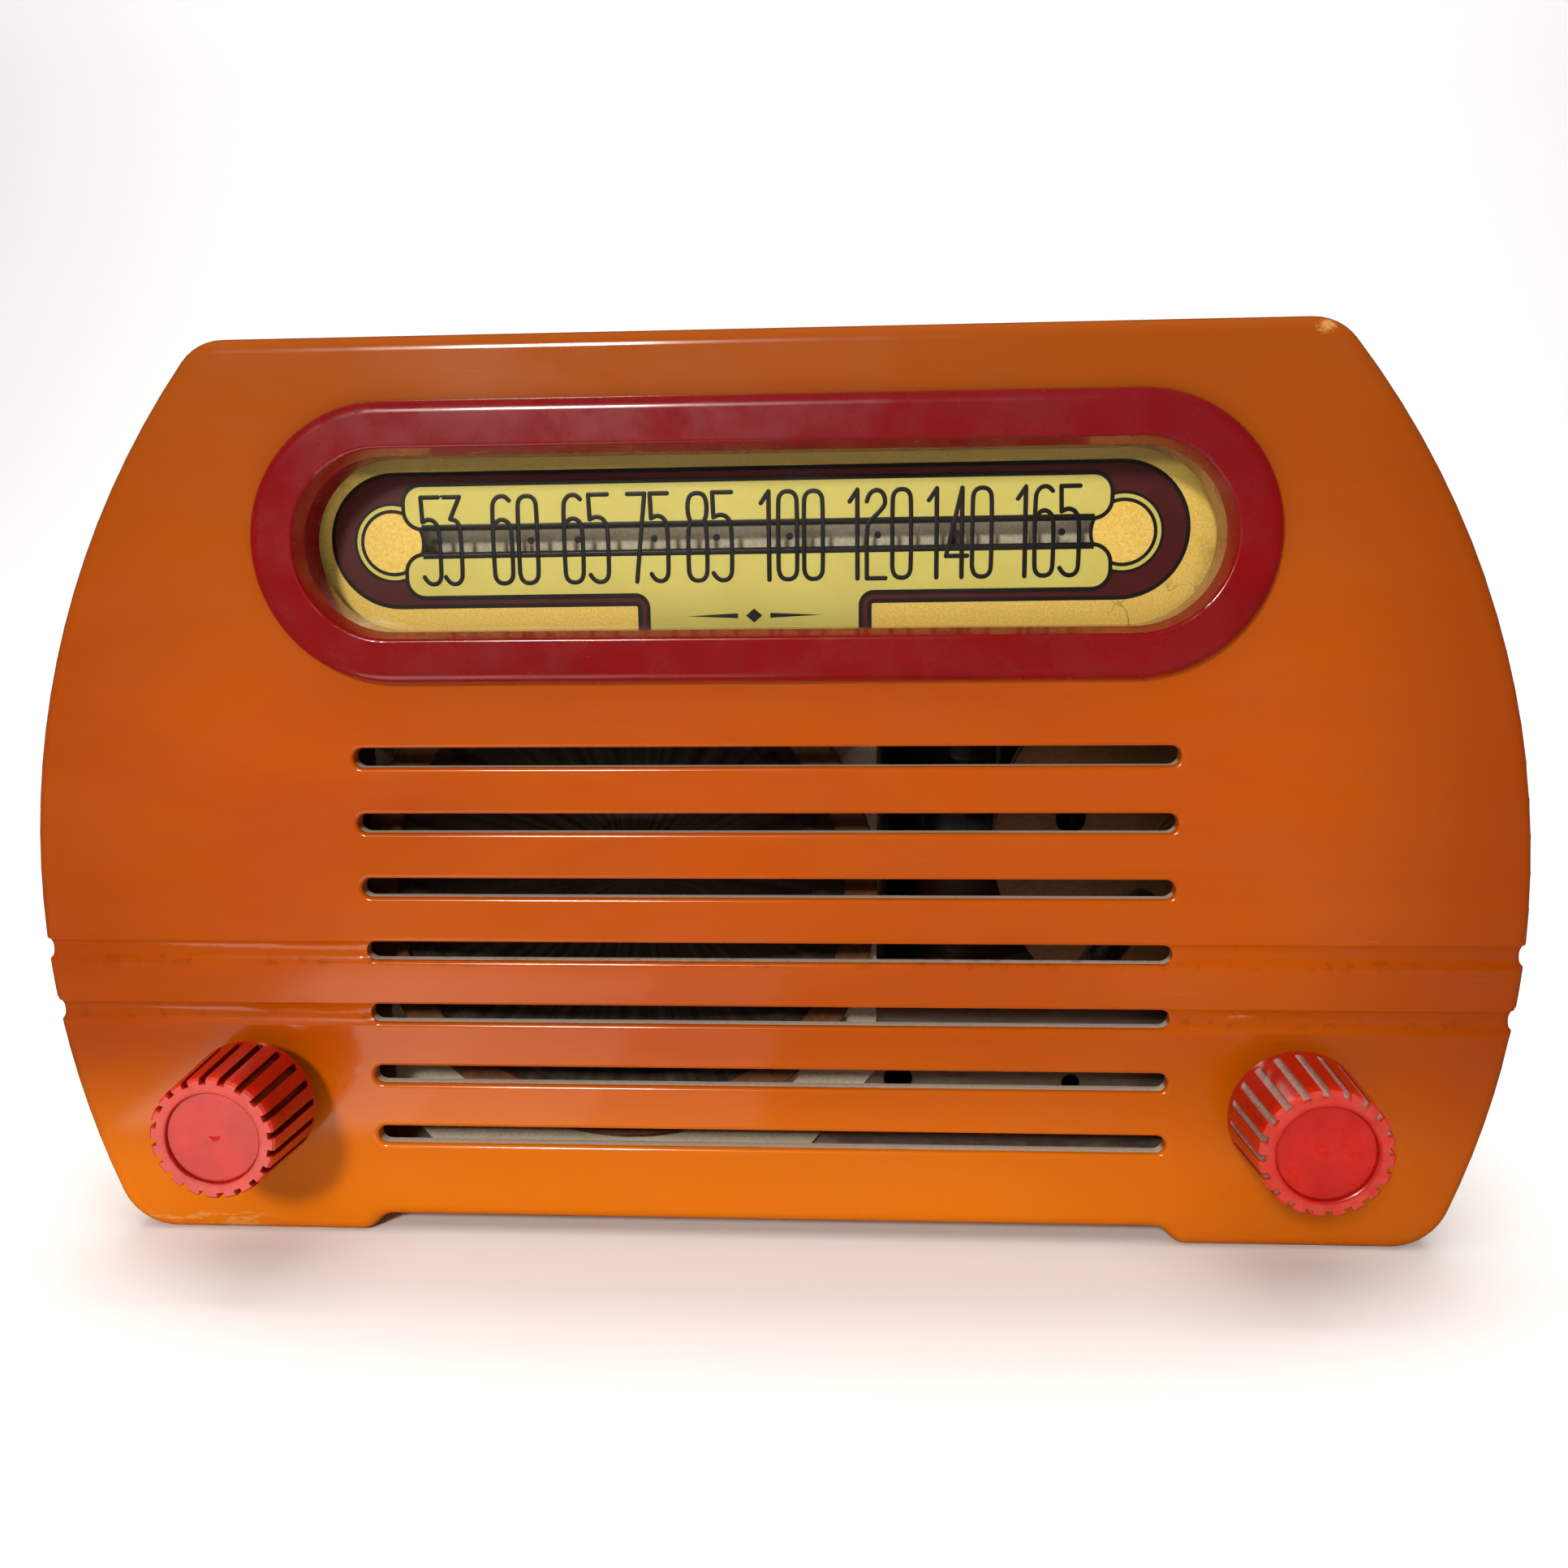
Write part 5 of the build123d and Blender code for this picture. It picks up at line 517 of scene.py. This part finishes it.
# the tuning knob's flutes hold grey dirt; the volume knob's flutes get a painted shadow
GREY_GRIME = srgb(182, 168, 156)
PAINTED_FLUTE_SHADOW = srgb(46, 8, 8)
KNOB_FINISHES = {
    "volume_knob": knob_finish("volume_knob", PAINTED_FLUTE_SHADOW, 0.8),
    "tuning_knob": knob_finish("tuning_knob", GREY_GRIME, 0.85),
}
SLOT_OF = {row["node"]: row["material_slot"] for row in frame["record"]["subparts"]}
for node, obj in frame["nodes"].items():
    obj.data.materials.clear()
    obj.data.materials.append(KNOB_FINISHES.get(node) or FINISHES[SLOT_OF[node]])

# ---------------------------------------------------------------- the dial's print
# The print lies on the back of the glass. Its places are stated on a plane PRINT_READ_AT behind the
# case's face, a little nearer than that, so each is moved outwards from the point straight before
# the camera by the same small share. The printed sheet sits a little askew: it rises to the right.
PRINT_READ_AT = 8.0
EYE = (CAMERA_PLACE[0], CAMERA_PLACE[2])
PRINT_DEPTH = GLASS_BACK - FACE_Y
SPREAD = (PRINT_DEPTH - PRINT_READ_AT) / (FACE_Y - CAMERA_PLACE[1] + PRINT_READ_AT)
TILT, TILT_FROM = 0.0035, -62.0
# the first layer's middle is PRINT_GAP behind the glass, and each further one LAYER behind the last
PRINT_GAP = 0.05
LAYER = 0.035
PRINT_THICK = 0.02
STROKE_FLATTEN = 0.05


def spread(x, z):
    """A place on the dial as stated, moved to where it lies on the back of the glass."""
    z += (x - TILT_FROM) * TILT
    return x + (x - EYE[0]) * SPREAD, z + (z - EYE[1]) * SPREAD


def arc(cx, cz, r, a0, a1, n=14):
    """Points round part of a circle, from angle a0 to a1 in degrees."""
    angles = [math.radians(a0 + (a1 - a0) * i / n) for i in range(n + 1)]
    return [(cx + r * math.cos(a), cz + r * math.sin(a)) for a in angles]


def rounded(x0, x1, z0, z1, r):
    """A rectangle with round corners, anticlockwise from the lower left."""
    loop = arc(x0 + r, z0 + r, r, 180, 270, 8) + arc(x1 - r, z0 + r, r, 270, 360, 8)
    return loop + arc(x1 - r, z1 - r, r, 0, 90, 8) + arc(x0 + r, z1 - r, r, 90, 180, 8)


def printed(name, curve, layer, shaping, material):
    """A curve's mesh, turned or flattened by shaping and set on its layer behind the glass."""
    shape = bpy.data.objects.new(name + "_outline", curve)
    scene.collection.objects.link(shape)
    mesh = bpy.data.meshes.new_from_object(shape.evaluated_get(bpy.context.evaluated_depsgraph_get()))
    bpy.data.objects.remove(shape)
    y = FACE_Y + PRINT_DEPTH + PRINT_GAP + layer * LAYER
    mesh.transform(Matrix.Translation((0, y * MM, 0)) @ shaping @ Matrix.Scale(MM, 4))
    mesh.name = name
    mesh.materials.clear()
    mesh.materials.append(material)
    obj = bpy.data.objects.new(name, mesh)
    scene.collection.objects.link(obj)
    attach(obj, "radio")


def flat(name, loops, layer, material):
    """A thin printed layer filled inside its loops; a loop inside another is a hole."""
    curve = bpy.data.curves.new(name, "CURVE")
    curve.dimensions = "2D"
    curve.fill_mode = "BOTH"
    curve.extrude = PRINT_THICK / 2
    for loop in loops:
        spline = curve.splines.new("POLY")
        spline.points.add(len(loop) - 1)
        spline.use_cyclic_u = True
        for point, place in zip(spline.points, loop):
            point.co = (*spread(*place), 0, 1)
    printed(name, curve, layer, Matrix.Rotation(math.pi / 2, 4, "X"), material)


def strokes(name, lines, radius, layer, material):
    """Rounded strokes pressed flat on the back of the glass."""
    curve = bpy.data.curves.new(name, "CURVE")
    curve.dimensions = "3D"
    curve.bevel_depth = radius
    curve.bevel_resolution = 3
    curve.use_fill_caps = True
    for line in lines:
        spline = curve.splines.new("POLY")
        spline.points.add(len(line) - 1)
        for point, place in zip(spline.points, line):
            px, pz = spread(*place)
            point.co = (px, 0, pz, 1)
    printed(name, curve, layer, Matrix.Scale(STROKE_FLATTEN, 4, (0, 1, 0)), material)


# the lime panel, the strip window through it, the tab below it and the line drawn round them
PANEL_LEFT, PANEL_RIGHT, PANEL_LOW, PANEL_HIGH = -65.8, 63.3, 124.6, 144.5
STRIP = (131.85, 137.2)
STRIP_ENDS = (-68.0, 66.0)
TAB_LEFT, TAB_RIGHT, TAB_LOW = -20.5, 18.1, 112.0
LINE = 0.75
CORNER = 3.0
CREASE = 2.8
# the gold discs at the ends of the strip window, inside three rings
DISCS = (("left", 1, (-68.5, 134.4)), ("right", -1, (65.8, 134.3)))
DISC_R = 5.45
RING_RADII = (6.1, 6.8, 7.3)
DISC_NOTCH = 4.0
# the maroon band round the panel, with a leg down each side of the tab, and the gold field round that
BAND = (-79.45, 77.05, 122.95, 146.45)
LEG = 1.65
FIELD_SIDE, FIELD_R = 66.5, 18.9


def panel_outlines(grow):
    """The panel's two halves, below and above the strip window."""
    return [
        rounded(PANEL_LEFT - grow, PANEL_RIGHT + grow, z0 - grow, z1 + grow, CORNER + grow)
        for z0, z1 in ((PANEL_LOW, STRIP[0]), (STRIP[1], PANEL_HIGH))
    ]


def tab_outline(grow):
    """The tab below the panel, flaring into the panel with a round crease at each side."""
    top = PANEL_LOW - grow
    r = CREASE - grow
    left, right = TAB_LEFT - CREASE, TAB_RIGHT + CREASE
    loop = [(TAB_LEFT - grow, TAB_LOW), (TAB_RIGHT + grow, TAB_LOW)]
    loop += arc(right, PANEL_LOW - CREASE, r, 180, 90, 10) + [(right, top + 2), (left, top + 2)]
    return loop + arc(left, PANEL_LOW - CREASE, r, 90, 0, 10)


def notched(cx, cz, r, toward):
    """A disc with the strip's window cut from its inner side; toward is 1 if that side is right."""
    a0 = math.degrees(math.asin((STRIP[1] - cz) / r))
    a1 = math.degrees(math.asin((cz - STRIP[0]) / r))
    if toward > 0:
        loop = arc(cx, cz, r, a0, 360 - a1, 44)
    else:
        loop = arc(cx, cz, r, 180 + a1, 540 - a0, 44)
    inner = cx + toward * DISC_NOTCH
    low, high = (inner, STRIP[0]), (inner, STRIP[1])
    return loop + ([low, high] if toward > 0 else [high, low])


def band_outline(grow):
    """The maroon band's outline with its two legs down to the bezel beside the tab."""
    x0, x1, z0, z1 = BAND[0] - grow, BAND[1] + grow, BAND[2] - grow, BAND[3] + grow
    r = (z1 - z0) / 2
    left, right = TAB_LEFT - LEG - grow, TAB_RIGHT + LEG + grow
    bend = CREASE - LEG - grow
    loop = arc(x1 - r, z0 + r, r, -90, 90, 28)
    loop += arc(x0 + r, z0 + r, r, 90, 270, 28)
    loop += arc(left - bend, z0 - bend, bend, 90, 0, 6)
    loop += [(left, TAB_LOW), (right, TAB_LOW)]
    return loop + arc(right + bend, z0 - bend, bend, 180, 90, 6)


BLACK = print_finish("dial_black", srgb(24, 18, 20), srgb(36, 28, 28), 0.35)
LIME = print_finish("dial_lime", srgb(221, 209, 110), srgb(207, 193, 92), 0.4)
MAROON = print_finish("dial_maroon", srgb(86, 9, 16), srgb(72, 7, 12), 0.4)
GOLD = gold_finish()

flat("print_panel", panel_outlines(0.0), 2, LIME)
flat("print_tab", [tab_outline(0.0)], 1, LIME)
flat("print_panel_edge", panel_outlines(LINE), 3, BLACK)
for side, toward, (cx, cz) in DISCS:
    flat("print_disc_" + side, [arc(cx, cz, DISC_R, 0, 355, 47)], 4, GOLD)
    flat("print_ring_a_" + side, [arc(cx, cz, RING_RADII[0], 0, 355, 47)], 5, BLACK)
    flat("print_ring_b_" + side, [notched(cx, cz, RING_RADII[1], toward)], 6, LIME)
    flat("print_ring_c_" + side, [notched(cx, cz, RING_RADII[2], toward)], 7, BLACK)
left, right = STRIP_ENDS
low, high = STRIP
strip_hole = [(left, low), (right, low), (right, high), (left, high)]
flat("print_tab_edge", [tab_outline(LINE)], 7.5, BLACK)
flat("print_band", [band_outline(0.0), strip_hole], 8, MAROON)
flat("print_band_edge", [band_outline(LINE), strip_hole], 9, BLACK)
field = arc(FIELD_SIDE, DIAL_Z, FIELD_R, -90, 90, 28) + arc(-FIELD_SIDE, DIAL_Z, FIELD_R, 90, 270, 28)
flat("print_field", [field, strip_hole], 10, GOLD)

# a plain ornament on the tab: a lozenge between two tapered bars
ORNAMENT = (-1.2, 120.2)
LOZENGE_WIDE, LOZENGE_HIGH = 1.5, 1.3
BAR_START, BAR_END, BAR_HALF = 3.0, 12.5, 0.45
ox, oz = ORNAMENT
flat("print_ornament", [
    [(ox - LOZENGE_WIDE, oz), (ox, oz - LOZENGE_HIGH), (ox + LOZENGE_WIDE, oz), (ox, oz + LOZENGE_HIGH)],
    [(ox - BAR_END, oz), (ox - BAR_START, oz - BAR_HALF), (ox - BAR_START, oz + BAR_HALF)],
    [(ox + BAR_END, oz), (ox + BAR_START, oz + BAR_HALF), (ox + BAR_START, oz - BAR_HALF)],
], 0.3, BLACK)

# Numbers are drawn as strokes in a box one unit wide and one high. BOWL, LOOP and CROWN are the
# round ends that several digits share.
BOWL = [(1, 0.12), (0.93, 0.05), (0.75, 0.01), (0.5, 0.0), (0.27, 0.015), (0.1, 0.05), (0, 0.085)]
LOOP = [(0, 0.12), (0.07, 0.05), (0.25, 0.01), (0.5, 0), (0.75, 0.01), (0.93, 0.05), (1, 0.12)]
CROWN = [(1, 0.88), (0.93, 0.95), (0.75, 0.99), (0.5, 1), (0.25, 0.99), (0.07, 0.95), (0, 0.88)]
STROKES = {
    "0": [LOOP + CROWN + [(0, 0.12)]],
    "1": [[(0, 0.87), (0.75, 1.0), (0.75, 0)]],
    "2": [[(0.0, 0.87), (0.15, 0.96), (0.5, 1), (0.85, 0.97), (1, 0.88), (0.92, 0.8)]
          + [(0.12, 0.64), (0, 0.56), (0, 0), (1, 0)]],
    "3": [[(0, 1), (1, 1), (0.42, 0.75), (0.8, 0.73), (1, 0.64)] + BOWL],
    "4": [[(0.82, 0), (0.82, 1), (0, 0.24), (1.1, 0.24)]],
    "5": [[(1, 1), (0, 1), (0.04, 0.72), (0.4, 0.755), (0.8, 0.72), (1, 0.62)] + BOWL],
    "6": [[(0.92, 0.95), (0.7, 1), (0.35, 1), (0.1, 0.95), (0, 0.87)] + LOOP
          + [(1, 0.6), (0.9, 0.69), (0.6, 0.735), (0.35, 0.73), (0.1, 0.69), (0, 0.6)]],
    "7": [[(0, 1), (1, 1), (0.45, 0)]],
    "8": [LOOP + [(1, 0.58), (0.85, 0.67), (0.15, 0.67), (0, 0.58), (0, 0.12)],
          [(0.15, 0.67), (0, 0.76), (0, 0.9), (0.15, 0.98), (0.5, 1)]
          + [(0.85, 0.98), (1, 0.9), (1, 0.76), (0.85, 0.67)]],
}
# each number with its left edge, its right edge and the gap between its digits
NUMBERS = [
    ("53", -62.8, -55.55, 0.8), ("60", -49.5, -41.2, 1.25), ("65", -36.2, -28.0, 1.25),
    ("75", -24.25, -16.9, 1.0), ("85", -13.15, -5.1, 1.1), ("100", 0.3, 11.6, 1.25),
    ("120", 16.5, 27.65, 1.25), ("140", 30.85, 42.2, 1.25), ("165", 46.85, 57.9, 1.25),
]
DIGIT_LOW, DIGIT_HIGH = 126.7, 142.6
STROKE = 0.43
# a 1 is this much of another digit's width
NARROW = 0.55
# a bend of more than this, in radians, stays a corner
SHARP = 1.0
SMOOTHINGS = 2


def sharp(before, corner, after):
    way_in = Vector((corner[0] - before[0], corner[1] - before[1]))
    way_out = Vector((after[0] - corner[0], after[1] - corner[1]))
    return way_in.angle(way_out) > SHARP


def eased(piece):
    """The same line with each of its slight bends cut, more than once, so that it reads as a curve."""
    for _ in range(SMOOTHINGS):
        cut = [piece[0]]
        for (x0, z0), (x1, z1) in zip(piece, piece[1:]):
            cut.append((x0 * 0.75 + x1 * 0.25, z0 * 0.75 + z1 * 0.25))
            cut.append((x0 * 0.25 + x1 * 0.75, z0 * 0.25 + z1 * 0.75))
        piece = cut + [piece[-1]]
    return piece


def pen_strokes(line):
    """A line's smooth pieces: it is parted at its sharp corners, and each piece is eased."""
    pieces = []
    piece = [line[0]]
    for before, corner, after in zip(line, line[1:], line[2:]):
        piece.append(corner)
        if sharp(before, corner, after):
            pieces.append(eased(piece))
            piece = [corner]
    return pieces + [eased(piece + [line[-1]])]


number_strokes = []
for text, x0, x1, gap in NUMBERS:
    units = len(text) - text.count("1") * (1 - NARROW)
    width = (x1 - x0 - gap * (len(text) - 1)) / units
    x = x0
    for digit in text:
        w = width * (NARROW if digit == "1" else 1.0)
        for stroke in STROKES[digit]:
            line = [(x + u * w, DIGIT_LOW + v * (DIGIT_HIGH - DIGIT_LOW)) for u, v in stroke]
            number_strokes += pen_strokes(line)
        x += w + gap
strokes("print_numbers", number_strokes, STROKE, 0, BLACK)
stroke_ends = sorted({end for piece in number_strokes for end in (piece[0], piece[-1])})
flat("print_number_ends", [arc(x, z, STROKE * 0.98, 0, 330, 11) for x, z in stroke_ends], 0.15, BLACK)

# the strip window's two lines, and a dot under each number
STRIP_LINE_ENDS, STRIP_LINE_R = (-62.9, 60.6), 0.47
DOTS = (-60.6, -42.4, -33.6, -19.4, -7.9, 5.5, 21.6, 35.9, 54.8)
DOT_Z, DOT_R = 134.5, 0.65
strokes("print_strip_lines", [[(x, z) for x in STRIP_LINE_ENDS] for z in STRIP], STRIP_LINE_R, 0.4, BLACK)
flat("print_dots", [arc(x, DOT_Z, DOT_R, 0, 345, 23) for x in DOTS], 0.6, BLACK)

# ---------------------------------------------------------------- floor, world and lights, in metres
FLOOR_HALF = 4.0
SWEEP_START, SWEEP_R, SWEEP_TOP = 0.9, 0.9, 4.0
SWEEP_STEPS = 16
# the floor runs back flat, then sweeps up into a wall
profile = [(-FLOOR_HALF, 0.0), (SWEEP_START, 0.0)]
for i in range(1, SWEEP_STEPS + 1):
    a = math.radians(90 * i / SWEEP_STEPS)
    profile.append((SWEEP_START + SWEEP_R * math.sin(a), SWEEP_R * (1 - math.cos(a))))
profile.append((SWEEP_START + SWEEP_R, SWEEP_TOP))
floor_mesh = bpy.data.meshes.new("floor")
floor_mesh.from_pydata(
    [(x, y, z) for y, z in profile for x in (-FLOOR_HALF, FLOOR_HALF)], [],
    [(2 * i, 2 * i + 1, 2 * i + 3, 2 * i + 2) for i in range(len(profile) - 1)],
)
for polygon in floor_mesh.polygons:
    polygon.use_smooth = True
floor = bpy.data.objects.new("floor", floor_mesh)
scene.collection.objects.link(floor)
paper = Shader("floor_pale")
paper_colour = paper.mix(paper.noise(300, 3, 0.5), (0.90, 0.895, 0.89), (0.88, 0.875, 0.87))
paper.set(Base_Color=paper_colour, Roughness=0.9, Specular_IOR_Level=0.1)
floor_mesh.materials.append(paper.material)
floor.visible_glossy = False
floor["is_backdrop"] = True

# the room looks pale from every side, but it hardly lights the radio
WORLD_LIGHT, WORLD_SEEN = 0.03, 0.8
world = bpy.data.worlds.new("world")
world.use_nodes = True
nodes, links = world.node_tree.nodes, world.node_tree.links
nodes["Background"].inputs["Color"].default_value = (1.0, 0.93, 0.88, 1.0)
level = nodes.new("ShaderNodeMapRange")
level.inputs["To Min"].default_value = WORLD_LIGHT
level.inputs["To Max"].default_value = WORLD_SEEN
links.new(nodes.new("ShaderNodeLightPath").outputs["Is Camera Ray"], level.inputs["Value"])
links.new(level.outputs[0], nodes["Background"].inputs["Strength"])
scene.world = world


def area(name, place, target, size, power, colour, glossy=True, diffuse=True):
    """A rectangular light that the camera doesn't see; it may be left out of reflections or of shading."""
    data = bpy.data.lights.new(name, "AREA")
    data.shape = "RECTANGLE"
    data.size, data.size_y = size
    data.energy = power
    data.color = colour
    obj = bpy.data.objects.new(name, data)
    scene.collection.objects.link(obj)
    obj.location = place
    obj.rotation_euler = (Vector(target) - Vector(place)).to_track_quat("-Z", "Y").to_euler()
    obj.visible_camera = False
    obj.visible_glossy = glossy
    obj.visible_diffuse = diffuse


# one small key light, high in front and a little to the left; the rest fill the room softly
face = FACE_Y * MM
area("key", (-0.34, face - 1.20, 0.72), (0, face, 0.08), (0.20, 0.20), 13.2, (1.0, 0.95, 0.89))
area("front", (0.2, -1.6, 0.4), (0, 0, 0.08), (1.6, 1.0), 0.5, (1.0, 0.96, 0.92), glossy=False)
area("ceiling", (0, -0.4, 1.8), (0, -0.2, 0), (2.4, 2.0), 26, (1.0, 0.97, 0.94), glossy=False)
area("back_wall", (0.0, 0.6, 2.6), (0, 1.8, 0.4), (3.0, 1.0), 60, (1.0, 1.0, 1.0), glossy=False)
# a pale card lying on the table, in front and to the left: three layers, so its right edge fades
CARD_LEFT, CARD_DEEP, CARD_AHEAD, CARD_HIGH = -0.155, 0.12, 0.10, 0.002
CARD_COLOUR = (1.0, 0.86, 0.76)
for i, (wide, power) in enumerate(((0.15, 0.036), (0.11, 0.027), (0.07, 0.017))):
    spot = (CARD_LEFT + wide / 2, face - CARD_AHEAD, CARD_HIGH + i * MM)
    above = (spot[0], spot[1], 1)
    area(f"table_card_{i}", spot, above, (wide, CARD_DEEP), power, CARD_COLOUR, diffuse=False)

low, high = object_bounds()
